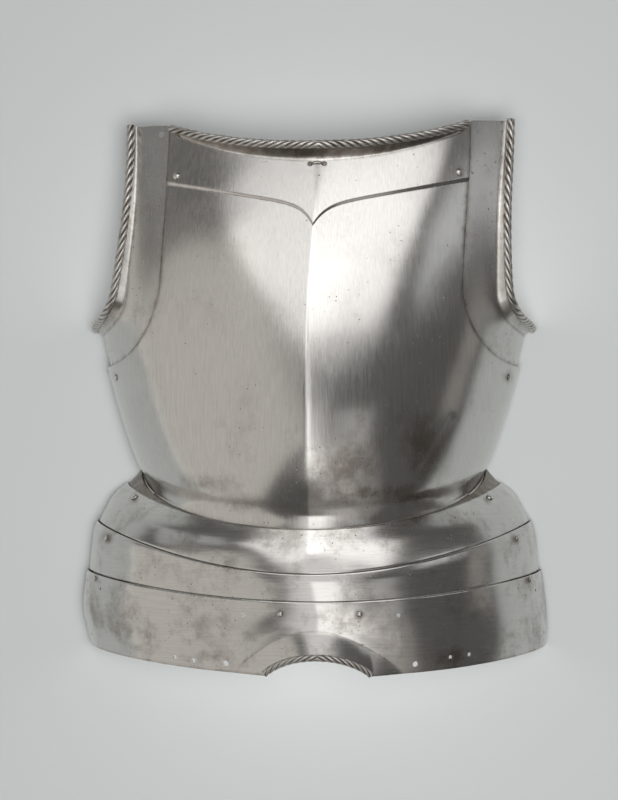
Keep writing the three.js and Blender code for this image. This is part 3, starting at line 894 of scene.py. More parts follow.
class RollRecipe(Recipe):
    """Winds strands round a path, as the filed rope along an armour's edges."""

    def __init__(self) -> None:
        """Builds the tree."""
        super().__init__("roped_roll")
        for name in ("Radius", "Groove", "Strand Spacing", "Strands", "Mirrored At"):
            self.declare(name, "Float")
        spline = self.node("GeometryNodeSplineParameter")
        along, share = Signal(self, spline.outputs["Length"]), Signal(self, spline.outputs["Factor"])
        whole = self.value("GeometryNodeSplineLength")
        strands = self.entry("Strands")
        path = self.result("GeometryNodeMeshToCurve", None, {"Mesh": self.entry("Carrier")})
        step = {"Curve": path, "Length": 0.8 * MM}
        path = self.result("GeometryNodeResampleCurve", {"mode": "LENGTH"}, step)
        turned = (along - whole * self.entry("Mirrored At")).math("ABSOLUTE") * (2.0 * math.pi)
        tilt = turned / (self.entry("Strand Spacing") * strands)
        path = self.result("GeometryNodeSetCurveTilt", None, {"Curve": path, "Tilt": tilt})
        lobe = 1.0 - (share * strands * math.pi).math("COSINE").math("ABSOLUTE")
        sunk = lobe ** 1.4
        ring = self.result("GeometryNodeCurvePrimitiveCircle", None, {"Resolution": 40, "Radius": 1.0})
        grown = self.entry("Radius") - self.entry("Groove") * sunk
        place = self.result("GeometryNodeInputPosition")
        moved = self.result("ShaderNodeVectorMath", {"operation": "SCALE"}, {0: place, "Scale": grown})
        ring = self.result("GeometryNodeSetPosition", None, {"Geometry": ring, "Position": moved})
        soil = {"Geometry": ring, "Name": "seam", "Value": sunk * 0.8 + 0.4}
        ring = self.result("GeometryNodeStoreNamedAttribute", None, soil)
        ends = {0: path, "Profile Curve": ring, "Fill Caps": True}
        self.close(self.result("GeometryNodeCurveToMesh", None, ends))

    def wind(
        self, name: str, path: np.ndarray, roll: Roll, finish: Steel, mirrored_at: float
    ) -> bpy.types.Object:
        """Winds one roll.

        Args:
            name: The piece's name.
            path: The middle of the roll, in millimetres.
            roll: Its sizes.
            finish: Its finish.
            mirrored_at: The share of its length where the strands change hand.

        Returns:
            The roll.
        """
        carrier = framed_mesh(name, path, edges=[(i, i + 1) for i in range(len(path) - 1)])
        values = {
            "Finish": finish.material(),
            "Radius": roll.radius * MM,
            "Groove": roll.groove * MM,
            "Strand Spacing": roll.spacing * MM,
            "Strands": float(roll.strands),
            "Mirrored At": mirrored_at,
        }
        return self.run(name, carrier, values)


class RivetRecipe(Recipe):
    """Sets a domed rivet at every point of the carrier."""

    def __init__(self) -> None:
        """Builds the tree. A rivet is made with a head of radius 1 and stretched to its size."""
        super().__init__("rivets")
        self.declare("Dome", "Float")
        self.declare("Shank", "Float")
        places = self.entry("Carrier")
        head, grip = self.read("head"), self.read("grip")
        turn = self.result("FunctionNodeAlignRotationToVector", {"axis": "Z"}, {"Vector": self.facing()})
        ball = self.result("GeometryNodeMeshUVSphere", None, {"Segments": 32, "Rings": 16, "Radius": 1.0})
        away = self.node("ShaderNodeSeparateXYZ", None, {0: self.result("GeometryNodeInputPosition")})
        rim = 1.0 - Signal(self, away.outputs[2]).between(0.0, 0.65)
        soil = {"Geometry": ball, "Name": "seam", "Value": rim}
        ball = self.result("GeometryNodeStoreNamedAttribute", None, soil)
        rod = {"Vertices": 24, "Radius": self.entry("Shank"), "Depth": 1.0}
        rod = self.result("GeometryNodeMeshCylinder", None, rod)
        outside = self.stood(places, ball, turn, self.vector(head, head, head * self.entry("Dome")), None)
        middle = self.stood(places, rod, turn, self.vector(head, head, grip), grip * -0.5)
        clenched = self.vector(head * 0.85, head * 0.85, head * 0.35)
        inside = self.stood(places, ball, turn, clenched, grip * -1.0)
        joined = self.node("GeometryNodeJoinGeometry")
        for part in (outside, middle, inside):
            self.tree.links.new(part, joined.inputs[0])
        self.close(joined.outputs[0])

    def read(self, name: str) -> Signal:
        """Reads a number that each point carries."""
        return self.value("GeometryNodeInputNamedAttribute", {"data_type": "FLOAT"}, {"Name": name})

    def facing(self) -> bpy.types.NodeSocket:
        """Reads the way that each point faces."""
        named = {"Name": "facing"}
        return self.result("GeometryNodeInputNamedAttribute", {"data_type": "FLOAT_VECTOR"}, named)

    def vector(self, x: Signal, y: Signal, z: Signal) -> bpy.types.NodeSocket:
        """Joins three numbers into a vector."""
        return self.result("ShaderNodeCombineXYZ", None, {0: x, 1: y, 2: z})

    def stood(
        self,
        places: Signal,
        part: bpy.types.NodeSocket,
        turn: bpy.types.NodeSocket,
        size: bpy.types.NodeSocket,
        height: Signal | None,
    ) -> bpy.types.NodeSocket:
        """Stands a part on every point.

        Args:
            places: The points.
            part: What stands there.
            turn: Its turn.
            size: Its stretch on three axes.
            height: How far over the point it stands, or None.

        Returns:
            The instances.
        """
        points = places
        if height is not None:
            moved = {0: self.facing(), "Scale": height}
            step = self.result("ShaderNodeVectorMath", {"operation": "SCALE"}, moved)
            points = self.result("GeometryNodeSetPosition", None, {"Geometry": places, "Offset": step})
        stood = {"Points": points, "Instance": part, "Rotation": turn, "Scale": size}
        return self.result("GeometryNodeInstanceOnPoints", None, stood)


# ------------------------------------------------------------------------------ sub-assemblies


class Body(Enum):
    """The parts of the armour that move as one."""

    BREAST = "breast"
    LAME_1 = "lame_1"
    LAME_2 = "lame_2"
    LAME_3 = "lame_3"


def tie(obj: bpy.types.Object, body: Body, nodes: Sequence[str]) -> None:
    """Ties a finished piece to the armour.

    Args:
        obj: The piece.
        body: What it moves with.
        nodes: The solids that it stands for.
    """
    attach(obj, body.value)
    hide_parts(*nodes)
    LOG.info("%s: %d faces, rides on %s", obj.name, len(obj.data.polygons), body.value)


def near(distance: np.ndarray, reach: float) -> np.ndarray:
    """Gives 1 at a seam, falling off within a reach in millimetres."""
    return np.exp(-np.abs(distance) / reach)


def shares(count: int) -> np.ndarray:
    """Gives count even shares, of which the last is 1 and the first is past 0."""
    return np.linspace(0.0, 1.0, count + 1)[1:]


Level = Callable[[np.ndarray], np.ndarray]
Row = tuple[Level, float]


def level(v: float) -> Level:
    """Gives a row that keeps one length v all the way across."""
    return lambda u: np.full_like(u, v)


@dataclass(frozen=True)
class Laps:
    """How the plates lap over each other, in millimetres."""

    air: float = 0.5
    lame: float = 1.5
    gusset_air: float = 1.1
    joggle: float = 2.0
    waist_joggle: float = 1.6
    lap: float = 13.0
    short_lap: float = 6.5

    @property
    def over(self) -> float:
        """Gives how far a lame stands over the one that it laps."""
        return self.air + self.lame


LAPS = Laps()


@dataclass(frozen=True)
class Waves:
    """Gentle unevenness of hammered plate, the same on every run, in millimetres."""

    seed: int
    depth: float = 0.10
    size: float = 46.0
    count: int = 22

    def at(self, points: np.ndarray) -> np.ndarray:
        """Gives the height of the waves.

        Args:
            points: Points of a plate, read in the front view.

        Returns:
            The height at each, in millimetres.
        """
        draw = np.random.default_rng(self.seed)
        angle = draw.uniform(0.0, 2.0 * math.pi, self.count)
        rate = 2.0 * math.pi / (self.size * draw.uniform(0.6, 2.2, self.count))
        start = draw.uniform(0.0, 2.0 * math.pi, self.count)
        x, y = points[..., 0:1], points[..., 1:2]
        turns = (x * np.cos(angle) + y * np.sin(angle)) * rate + start
        return self.depth * math.sqrt(2.0 / self.count) * np.sin(turns).sum(axis=-1)


@dataclass(frozen=True)
class Dent:
    """A hollow knocked into a plate, at x and y, along a line of the given length and turn."""

    x: float
    y: float
    depth: float
    width: float
    length: float = 0.0
    turn: float = 0.0

    def at(self, points: np.ndarray) -> np.ndarray:
        """Gives the depth of the dent.

        Args:
            points: Points of a plate, read in the front view.

        Returns:
            The depth at each, in millimetres.
        """
        dx, dy = points[..., 0] - self.x, points[..., 1] - self.y
        along = dx * math.cos(self.turn) + dy * math.sin(self.turn)
        aside = -dx * math.sin(self.turn) + dy * math.cos(self.turn)
        past = np.maximum(np.abs(along) - self.length / 2.0, 0.0)
        return self.depth * np.exp(-(past**2 + aside**2) / self.width**2)


@dataclass(frozen=True)
class Stain:
    """A patch of heavier wear without a sharp edge, at x and y, with its reach along both."""

    x: float
    y: float
    wide: float
    high: float
    strength: float

    def at(self, points: np.ndarray) -> np.ndarray:
        """Gives how worn the front view of points is."""
        dx, dy = (points[..., 0] - self.x) / self.wide, (points[..., 1] - self.y) / self.high
        return self.strength * np.exp(-(dx**2 + dy**2))


def worn_by(stains: Sequence[Stain], points: np.ndarray, body: Body) -> np.ndarray:
    """Gives the wear at every point, from stains and from the soil round the body's rivets.

    Args:
        stains: The plate's stains.
        points: Where the wear is wanted.
        body: What the plate rides on.

    Returns:
        The strongest wear at each point.
    """
    halos = [Stain(x, y, *RIVET_SOIL) for pair in RIVETS if pair.body is body for x, y in pair.seats()]
    return np.maximum.reduce([stain.at(points) for stain in (*stains, *halos)])


@dataclass
class BreastPlate:
    """The main plate, with its ridge, raised neck band, neck flange and waist flange."""

    finish: Steel
    roll_finish: Steel
    thickness: float = 2.0
    neck_half: float = 134.0
    half_width: float = 190.0
    flange: float = 11.4
    flange_lift: float = 10.0
    flange_narrowing: float = 0.019
    fold_play: float = 0.3
    tail_spread: float = 6.0
    band_side_y: float = 168.0
    band_rise: float = 23.0
    band_half: float = 127.0
    cusp_depth: float = 17.0
    cusp_width: float = 9.8
    band_height: float = 1.2
    band_step: float = 2.4
    band_margin: float = 0.6
    armpit_x: float = 188.6
    armpit_y: float = 27.0
    armpit_drop: float = 73.0
    armpit_power: float = 1.8
    columns: int = 201
    waves: Waves = Waves(11, 0.045, 60.0)
    roll: Roll = Roll()
    dents: tuple[Dent, ...] = (
        Dent(84.0, -78.0, 0.8, 6.0, 16.0, 0.5),
        Dent(111.5, -43.0, 0.45, 3.0, 56.0, 1.05),
        Dent(97.0, -90.0, 0.5, 4.0, 18.0, 0.2),
        Dent(-72.0, -80.0, 0.3, 8.0),
    )
    stains: tuple[Stain, ...] = (
        Stain(-100.0, -76.0, 40.0, 9.0, 0.9),
        Stain(-55.0, -93.0, 32.0, 8.0, 0.8),
        Stain(98.0, -44.0, 24.0, 34.0, 1.4),
        Stain(60.0, -84.0, 70.0, 12.0, 1.4),
        Stain(35.0, -62.0, 45.0, 32.0, 1.2),
        Stain(75.0, -25.0, 60.0, 30.0, 0.7),
        Stain(-60.0, -40.0, 120.0, 60.0, 0.15),
    )
    holes: tuple[Hole, ...] = (Hole(-6.2, 204.0, 2.5), Hole(6.2, 204.0, 2.5), Hole(2.4, 193.6, 1.0))

    def arm_edge(self, y: float) -> float:
        """Gives the plate's half width beside the arm opening.

        Args:
            y: A height towards the neck.

        Returns:
            The half width there.
        """
        share = min(max((y - self.armpit_y) / self.armpit_drop, 0.0), 1.0)
        sweep = (1.0 - (1.0 - share) ** self.armpit_power) ** (1.0 / self.armpit_power)
        return self.armpit_x + (self.neck_half - self.armpit_x) * sweep

    def __post_init__(self) -> None:
        """Measures the neck band's border, two shallow arcs that meet in a cusp on the ridge."""
        self.border_u = np.linspace(0.0, 1.0, 500) ** 1.5
        low, high = np.zeros_like(self.border_u), np.full_like(self.border_u, FORM.at["chest"])
        for _ in range(30):
            middle = (low + high) / 2.0
            x, y, _ = np.moveaxis(FORM.point(self.border_u, middle), -1, 0)
            arc = self.band_side_y + self.band_rise * (x / self.band_half) ** 1.1
            past = y < arc - self.cusp_depth * np.exp(-x / self.cusp_width)
            high, low = np.where(past, middle, high), np.where(past, low, middle)
        self.border_v = low

    def border(self, u: np.ndarray) -> np.ndarray:
        """Gives the length v of the neck band's border at u."""
        return np.interp(np.abs(u), self.border_u, self.border_v)

    def rows(self) -> list[Row]:
        """Lists the plate's rows from the neck crease down.

        Returns:
            Each row's length v as a function of u, and how far it stands off the form.
        """
        border, step, margin = self.border, self.band_step, self.band_margin
        breast, armpit, waist = FORM.at["breast"], FORM.at["armpit"], FORM.waist
        rows: list[Row] = []
        for share in (0.0, *shares(19)):
            rows.append((lambda u, s=share: (border(u) - margin) * s, self.band_height))
        for past in np.linspace(-margin, step + margin, 10)[1:]:
            height = self.band_height * (1.0 - min(max(past / step, 0.0), 1.0))
            rows.append((lambda u, p=past: border(u) + p, height))
        for share in shares(39):
            rows.append((lambda u, s=share: blend(border(u) + step + margin, breast, s), 0.0))
        rows += [(level(blend(breast, armpit, 1.0 - (1.0 - share) ** 1.6)), 0.0) for share in shares(33)]
        sunk = -(LAPS.over + self.fold_play)
        for v in np.linspace(armpit, waist, 56)[1:]:
            rows.append((level(v), sunk * float(ease(v, FORM.at["tuck"], waist))))
        for share in shares(11):
            height = sunk - LAPS.joggle * float(ease(share, 0.0, 0.35))
            rows.append((lambda u, s=share: waist + self.tail(u) * s, height))
        return rows

    def tail(self, u: np.ndarray) -> np.ndarray:
        """Gives how far the plate goes under the waist lame."""
        return LAPS.lap + self.tail_spread * np.abs(u)

    def reach(self, row: Level) -> float:
        """Finds where a row meets the edge of the arm opening.

        Args:
            row: The row's length v as a function of u.

        Returns:
            The u of its right end.
        """
        low, high = 0.0, 1.0
        for _ in range(24):
            middle = (low + high) / 2.0
            u = np.array([middle])
            x, y, _ = FORM.point(u, row(u))[0]
            low, high = (low, middle) if x > self.arm_edge(y) else (middle, high)
        return 1.0 if low > 0.999 else low

    def surface(self) -> Sheet:
        """Lays out the plate's outer surface, with the neck flange above its crease.

        Returns:
            The surface, with its seam mark, which holds painted shade too, and its wear.
        """
        share = np.linspace(-1.0, 1.0, self.columns)
        grid, seams = [], []
        for row, height in self.rows():
            edge = self.reach(row)
            u = np.sign(share) * edge * np.abs(share) ** 1.1
            v = row(u)
            points = FORM.offset(u, v, height)
            worn = self.waves.at(points) * (1.0 - ease(np.abs(u), 0.85, 1.0))
            worn = worn - sum(dent.at(points) for dent in self.dents)
            grid.append(points + FORM.normal(u, v) * worn[..., None])
            inside = (1.0 - np.abs(share)) * edge * self.half_width
            # Painted shade: the broad term, reaching 18 mm from the side edges at 0.4, browns and darkens the
            # plate's sides where they mirror the bright floor. The narrow term is the arm edge's seam.
            side = np.maximum(near(inside, 3.0) * (1.0 - ease(v, 180.0, 215.0)), near(inside, 18.0) * 0.4)
            past = v - self.border(u)
            # Painted shadow: dark lines along the top and the foot of the neck band's step.
            border = np.maximum(near(past, 0.6), near(past - self.band_step, 0.6))
            # Painted shade in the hollow just above the waist fold.
            fold = near(v - FORM.waist, 6.0) * 0.5
            seams.append(np.maximum.reduce([side, border, fold, near(v, 3.0) * 0.8]))
        crease = grid[0]
        flange, soil = [], []
        for rise in np.linspace(1.0, 0.0, 14)[:-1]:
            points = crease.copy()
            points[:, 0] *= 1.0 - self.flange_narrowing * rise
            points[:, 1] += self.flange * (1.0 - share**2) * rise
            points[:, 2] += self.flange_lift * rise**1.5
            flange.append(points)
            soil.append(np.full_like(share, 0.82 + 0.18 * rise))
        points = np.array(flange + grid)
        marks = {"seam": np.array(soil + seams), "wear": worn_by(self.stains, points, Body.BREAST)}
        return Sheet(points, self.thickness, marks)

    def build(self, winder: RollRecipe) -> None:
        """Makes the plate and its roll, whose strands change hand on the ridge.

        Args:
            winder: What winds the roll.
        """
        surface = self.surface()
        plate = sheet_object("breast_shell", surface, self.finish, settled=True)
        bore(plate, self.holes, settled=True)
        tie(plate, Body.BREAST, ["breast_plate"])
        edge = FORM.settle(surface.points[0])
        roll = winder.wind("neck_roll", edge, self.roll, self.roll_finish, 0.5)
        tie(roll, Body.BREAST, ["breast_plate"])


class Side(Enum):
    """Left and right, as the front view shows them."""

    LEFT = -1
    RIGHT = 1

    @property
    def word(self) -> str:
        """Gives the side's name."""
        return self.name.lower()


@dataclass(frozen=True)
class GussetSection:
    """A section of a gusset.

    seam is where the main plate's edge crosses it, crease where its flange is creased, and roll
    the middle of its roped roll, which stands lift above the crease.
    """

    seam_x: float
    seam_y: float
    crease_x: float
    crease_y: float
    roll_x: float
    roll_y: float
    lift: float


GUSSET_SECTIONS = (
    GussetSection(134.0, 245.0, 166.0, 245.0, 170.5, 246.0, 10.0),
    GussetSection(134.0, 176.0, 162.6, 176.0, 170.0, 176.0, 9.0),
    GussetSection(134.0, 128.0, 163.4, 128.0, 172.6, 128.0, 8.0),
    GussetSection(134.6, 98.0, 164.2, 98.0, 175.5, 98.0, 6.0),
    GussetSection(141.0, 71.0, 166.5, 82.0, 179.0, 84.5, 3.0),
    GussetSection(152.5, 49.5, 174.5, 68.5, 186.5, 73.0, -3.0),
    GussetSection(169.0, 34.0, 187.0, 60.0, 194.5, 66.5, -7.0),
    GussetSection(188.6, 27.0, 196.4, 55.0, 200.0, 62.0, 4.5),
)


@dataclass
class Gusset:
    """The plate that edges an arm opening, from under the main plate out to its roped roll."""

    side: Side
    finish: Steel
    roll_finish: Steel
    thickness: float = 1.5
    breast_thickness: float = 2.0
    steps: int = 150
    hollow: float = 3.0
    worn_lift: float = 3.6
    waves: Waves = Waves(5, 0.04, 40.0)
    roll: Roll = Roll(spacing=8.7)
    hole: Hole = Hole(143.0, 237.0, 3.0)
    slot_end: Hole = Hole(138.6, 198.0, 1.5)

    def surface(self) -> Sheet:
        """Lays out the gusset's outer surface as if on the right, then mirrors it if it must be.

        Returns:
            The surface, with its seams.
        """
        knots = range(len(GUSSET_SECTIONS))
        last = len(GUSSET_SECTIONS) - 1
        t = np.linspace(0.0, last, self.steps)
        columns = GussetSection.__dataclass_fields__
        cut = {
            name: NaturalSpline(knots, [getattr(section, name) for section in GUSSET_SECTIONS])(t)
            for name in columns
        }
        seam_u, seam_v = FORM.place(cut["seam_x"], cut["seam_y"])
        crease_u, crease_v = FORM.place(cut["crease_x"], cut["crease_y"])
        seam_u[-1] = crease_u[-1] = 1.0
        width = np.hypot(cut["crease_x"] - cut["seam_x"], cut["crease_y"] - cut["seam_y"])
        lap = LAPS.lap * (1.0 + 1.3 * ease(t, 4.0, float(last))) / width
        sunk = -(self.breast_thickness + LAPS.gusset_air)
        covered = [-lap * share for share in (1.0, 0.66, 0.33)]
        lines, seams = [], []
        for share in covered + [np.full_like(t, share) for share in (0.0, *shares(16))]:
            low = np.where(share < 0.0, np.maximum(0.0, 1.5 - t) * 12.0, 0.0) * -share / lap
            u, v = blend(seam_u, crease_u, share), blend(seam_v, crease_v, share) + low
            rise = self.hollow * np.maximum(share, 0.0) ** 4 * (1.0 - ease(t, 5.0, 6.5))
            points = FORM.offset(u, v, sunk)
            lines.append(points + FORM.normal(u, v) * (self.waves.at(points) + rise)[..., None])
            at_seam, at_crease = near(share * width, 3.5), near((1.0 - share) * width, 3.0)
            seams.append(np.maximum(at_seam * 0.95, at_crease * 0.75))
        bend = lines[-1]
        flat = FORM.offset(crease_u, crease_v, sunk)
        lift = cut["lift"] - self.worn_lift * ease(cut["lift"], 2.0, 9.0)
        roll = np.stack([cut["roll_x"], cut["roll_y"], flat[:, 2] + lift], axis=-1)
        for share in shares(8):
            lines.append(blend(bend, roll, share))
            seams.append(np.full_like(t, 0.45 + 0.4 * share))
        grid, soil = np.stack(lines, axis=1), np.stack(seams, axis=1)
        middle = grid[:, 1:-1]
        for _ in range(3):
            middle += (grid[:, :-2] + grid[:, 2:] - 2.0 * middle) * 0.18 * (middle[..., 2:] > LYING_HEIGHT)
        if self.side is Side.LEFT:
            grid, soil = grid[:, ::-1] * [-1.0, 1.0, 1.0], soil[:, ::-1]
        return Sheet(np.ascontiguousarray(grid), self.thickness, {"seam": soil})

    def build(self, winder: RollRecipe) -> None:
        """Makes the gusset and its roll.

        Args:
            winder: What winds the roll.
        """
        surface = self.surface()
        node = f"gusset_{self.side.word}"
        plate = sheet_object(f"{node}_shell", surface, self.finish, settled=True)
        holes = [Hole(self.side.value * self.hole.x, self.hole.y, self.hole.radius)]
        if self.side is Side.RIGHT:
            holes.append(self.slot_end)
        bore(plate, holes, settled=True)
        tie(plate, Body.BREAST, [node])
        column, hand = (0, 0.0) if self.side is Side.LEFT else (-1, 1.0)
        edge = FORM.settle(surface.points[:, column])
        roll = winder.wind(f"{node}_roll", edge, self.roll, self.roll_finish, hand)
        tie(roll, Body.BREAST, [node])


SKIRT_STAINS = (
    Stain(-205.0, -185.0, 25.0, 40.0, 0.7),
    Stain(-75.0, -228.0, 45.0, 10.0, 0.9),
    Stain(125.0, -226.0, 40.0, 10.0, 0.9),
    Stain(88.0, -106.0, 30.0, 8.0, 1.0),
    Stain(100.0, -190.0, 26.0, 22.0, 0.5),
    Stain(205.0, -170.0, 22.0, 60.0, 0.7),
    Stain(-150.0, -205.0, 60.0, 30.0, 0.6),
    Stain(0.0, -170.0, 400.0, 400.0, 0.32),
)
SKIRT_PLUG = Hole(158.4, -218.3, 4.2)
SKIRT_HOLES = (
    *both_sides(66.5, -188.5, 1.7, 11.5),
    *both_sides(82.0, -231.0, 2.4, 11.0),
    Hole(-100.0, -229.5, 2.0),
    Hole(-117.0, -227.5, 1.9),
    Hole(123.5, -226.0, 1.6),
    Hole(140.0, -224.5, 1.7),
    Hole(-202.5, -167.0, 1.2),
    Hole(-187.5, -172.3, 1.1),
    Hole(199.3, -174.0, 1.2),
    Hole(-206.8, -206.1, 1.3),
    Hole(-200.6, -215.2, 1.0),
    Hole(209.2, -212.8, 1.3),
    SKIRT_PLUG,
)


def first_top(u: np.ndarray) -> np.ndarray:
    """Gives the top edge of the first fauld lame, which falls away from the waist at its sides."""
    return FORM.waist + 1.0 + 9.5 * ease(np.abs(u), 0.3, 1.05) ** 1.5


@dataclass
class Lame:
    """A plate across the skirt, from its top edge to where the next lame covers it.

    Its rim stands over the plate above, and its lower end is joggled in under the next lame: the
    joggle starts joggle_lead above the next lame's edge and takes joggle_run.
    """

    name: str
    body: Body
    finish: Steel
    top: Level
    next: float
    lap: float
    thickness: float = 1.5
    columns: int = 181
    seed: int = 3
    half_width: float = 200.0
    rim: float = 5.0
    rim_drop: float = 0.5
    joggle_lead: float = 1.4
    joggle_run: float = 2.9
    holes: tuple[Hole, ...] = ()

    def rim_rows(self) -> list[Row]:
        """Lists the rows of the rim, whose edge is a little rounded.

        Returns:
            Each row's length v as a function of u, and how far it stands off the form.
        """
        rows: list[Row] = []
        for share in (0.0, *shares(7)):
            height = LAPS.over - self.rim_drop * (1.0 - min(share * 5.0, 1.0)) ** 2
            rows.append((lambda u, s=share: self.top(u) + self.rim * s, height))
        return rows

    def rows(self) -> list[Row]:
        """Lists the rows down the lame.

        Returns:
            Each row's length v as a function of u, and how far it stands off the form.
        """
        rows, start = self.rim_rows(), self.next - self.joggle_lead
        for share in shares(25):
            height = LAPS.over * (1.0 - float(ease(share, 0.0, 1.0)))
            rows.append((lambda u, s=share: blend(self.top(u) + self.rim, start, s), height))
        for share in shares(6):
            rows.append((level(start + self.joggle_run * share), -LAPS.joggle * float(ease(share, 0.0, 1.0))))
        tucked = self.joggle_run - self.joggle_lead
        rows += [(level(self.next + blend(tucked, self.lap, share)), -LAPS.joggle) for share in shares(5)]
        return rows

    def hammered(self, waves: Waves, u: np.ndarray, v: np.ndarray, height: np.ndarray | float) -> np.ndarray:
        """Gives points off the form, with the unevenness of hammered plate where they show.

        Args:
            waves: The unevenness.
            u: Places across.
            v: Places down the ridge.
            height: How far they stand off the form.

        Returns:
            The points.
        """
        points = FORM.offset(u, v, height)
        worn = waves.at(points) * (1.0 - ease(np.abs(u), 0.9, 1.0)) * (np.asarray(height) > -0.5)
        return points + FORM.normal(u, v) * worn[..., None]

    def marked(self, points: np.ndarray, seams: list[np.ndarray]) -> Sheet:
        """Makes the sheet of the points, with its seams and wear."""
        wear = worn_by(SKIRT_STAINS, points, self.body)
        return Sheet(points, self.thickness, {"seam": np.array(seams), "wear": wear})

    def surface(self) -> Sheet:
        """Lays out the lame's outer surface.

        Returns:
            The surface, with its seams and wear.
        """
        u = np.linspace(-1.0, 1.0, self.columns)
        waves = Waves(self.seed, 0.05, 50.0)
        grid, seams = [], []
        for row, height in self.rows():
            v = row(u)
            grid.append(self.hammered(waves, u, v, height))
            ends = near((1.0 - np.abs(u)) * self.half_width, 5.0) * 0.6
            upper = near(v - self.top(u), 0.9) * 0.4
            lower = near(np.minimum(v - self.next, 0.0), 0.8) * 0.5
            seams.append(np.maximum.reduce([ends, upper, lower]))
        return self.marked(np.array(grid), seams)

    def build(self) -> None:
        """Makes the lame."""
        plate = sheet_object(f"{self.name}_shell", self.surface(), self.finish)
        if self.holes:
            bore(plate, self.holes)
        tie(plate, self.body, [self.name])


@dataclass
class WaistLame(Lame):
    """The hollow band between the main plate's fold and the first lame, in darker steel with a full seam mark
    as painted shade.
    """

    lead: float = 0.5

    def rows(self) -> list[Row]:
        """Lists the band's rows: what shows, and what goes under the first lame.

        Returns:
            Each row's length v as a function of u, and how far it stands off the form.
        """
        rows: list[Row] = []
        for share in (0.0, *shares(11)):
            rows.append((lambda u, s=share: blend(FORM.waist, self.covered_from(u), s), 0.0))
        for share in shares(8):
            height = -LAPS.waist_joggle * float(ease(share, 0.0, 0.4))
            rows.append((lambda u, s=share: self.covered_from(u) + (self.cover(u) + self.lead) * s, height))
        return rows

    def covered_from(self, u: np.ndarray) -> np.ndarray:
        """Gives the length v from which the band starts to go under the first lame."""
        return first_top(u) - self.lead

    def cover(self, u: np.ndarray) -> np.ndarray:
        """Gives how far the band goes under, which is short behind the rivets."""
        return 9.0 - 8.0 * ease(np.abs(u), 0.78, 0.9)

    def surface(self) -> Sheet:
        """Lays out the band, with a full seam mark all over as painted shade."""
        sheet = super().surface()
        return Sheet(sheet.points, self.thickness, {"seam": np.full(sheet.points.shape[:2], 0.8)})


@dataclass
class ArchLame(Lame):
    """The last lame, whose hem is flanged and lifted into an arch with a roped edge."""

    arch_x: float = 9.0
    arch_half: float = 46.0
    arch_top: float = 17.5
    crest_half: float = 73.0
    crest_top: float = 18.0
    crest_lead: float = 3.5
    lift: float = 8.0
    roll: Roll = Roll(3.1, 0.85, 6.4)

    def arch(self, x: np.ndarray, half: float, power: float) -> np.ndarray:
        """Gives a round bump of height 1 over the arch's middle."""
        return np.maximum(1.0 - ((x - self.arch_x) / half) ** 2, 0.0) ** power

    def surface(self) -> Sheet:
        """Lays out the lame with more columns in the arch.

        Returns:
            The surface, with its seams and wear.
        """
        inner, outer = np.linspace(-0.255, 0.255, 121), np.linspace(0.255, 1.0, 56)[1:]
        u = np.concatenate([-outer[::-1], inner, outer])
        x = FORM.point(u, FORM.hem)[..., 0]
        crest_arch = self.arch(x, self.crest_half, 1.2)
        hem = FORM.hem - self.arch_top * self.arch(x, self.arch_half, 0.8)
        crest = FORM.hem - self.crest_lead - (self.arch_top + self.crest_top) * crest_arch
        lines = [(row(u), np.full_like(u, height)) for row, height in self.rim_rows()]
        for share in shares(43):
            height = LAPS.over * (1.0 - float(ease(share, 0.0, 0.75)))
            lines.append((blend(FORM.third + self.rim, crest, share), np.full_like(u, height)))
        for share in shares(14):
            lines.append((blend(crest, hem, share), self.lift * crest_arch * share**1.25))
        waves = Waves(self.seed, 0.05, 50.0)
        grid, seams = [], []
        for v, height in lines:
            grid.append(self.hammered(waves, u, v, height))
            ends = near((1.0 - np.abs(u)) * self.half_width, 6.0) * 0.6
            fold = near(v - crest, 2.0) * ease(crest_arch, 0.0, 0.2) * 0.6
            upper, lower = near(v - FORM.third, 0.9) * 0.4, near(hem - v, 4.0) * 0.7
            seams.append(np.maximum.reduce([ends, fold, upper, lower]))
        return self.marked(np.array(grid), seams)

    def build_plug(self) -> None:
        """Closes the lame's plugged hole with a disc."""
        plug = mesh_object("skirt_plug", *SKIRT_PLUG.rod(*PLUG_DEPTHS, False))
        plug.data.materials.append(self.finish.material())
        tie(plug, self.body, [self.name])

    def build_roll(self, winder: RollRecipe, finish: Steel) -> None:
        """Winds the roped roll along the arch.

        Args:
            winder: What winds the roll.
            finish: The roll's finish.
        """
        edge = self.surface().points[-1]
        arch = edge[np.abs(edge[:, 0] - self.arch_x) < self.arch_half + 1.0]
        roll = winder.wind("arch_roll", arch, self.roll, finish, 0.5)
        tie(roll, self.body, [self.name])


@dataclass(frozen=True)
class RivetPair:
    """Two rivets, x to each side of the middle, whose heads sit on a plate that stands off the form."""

    name: str
    body: Body
    x: float
    y: float
    head: float
    on: float
    grip: float
    middle: float = 0.0

    def seats(self) -> list[tuple[float, float]]:
        """Gives x and y of the left and the right rivet."""
        return [(self.middle + side.value * self.x, self.y) for side in Side]


RIVETS = (
    RivetPair("rivet_neck", Body.BREAST, 125.0, 197.0, 3.6, 1.2, 5.8),
    RivetPair("rivet_armpit", Body.BREAST, 177.0, 17.5, 3.0, 0.0, 7.0),
    RivetPair("rivet_lame_1", Body.LAME_1, 159.0, -92.0, 3.5, 2.0, 10.0),
    RivetPair("rivet_lame_2", Body.LAME_2, 182.5, -127.0, 2.6, 2.0, 6.0),
    RivetPair("rivet_lame_3", Body.LAME_3, 194.0, -164.0, 2.5, 2.0, 6.0),
    RivetPair("rivet_skirt", Body.LAME_3, 34.0, -187.0, 2.5, 1.7, 1.5, 11.0),
)


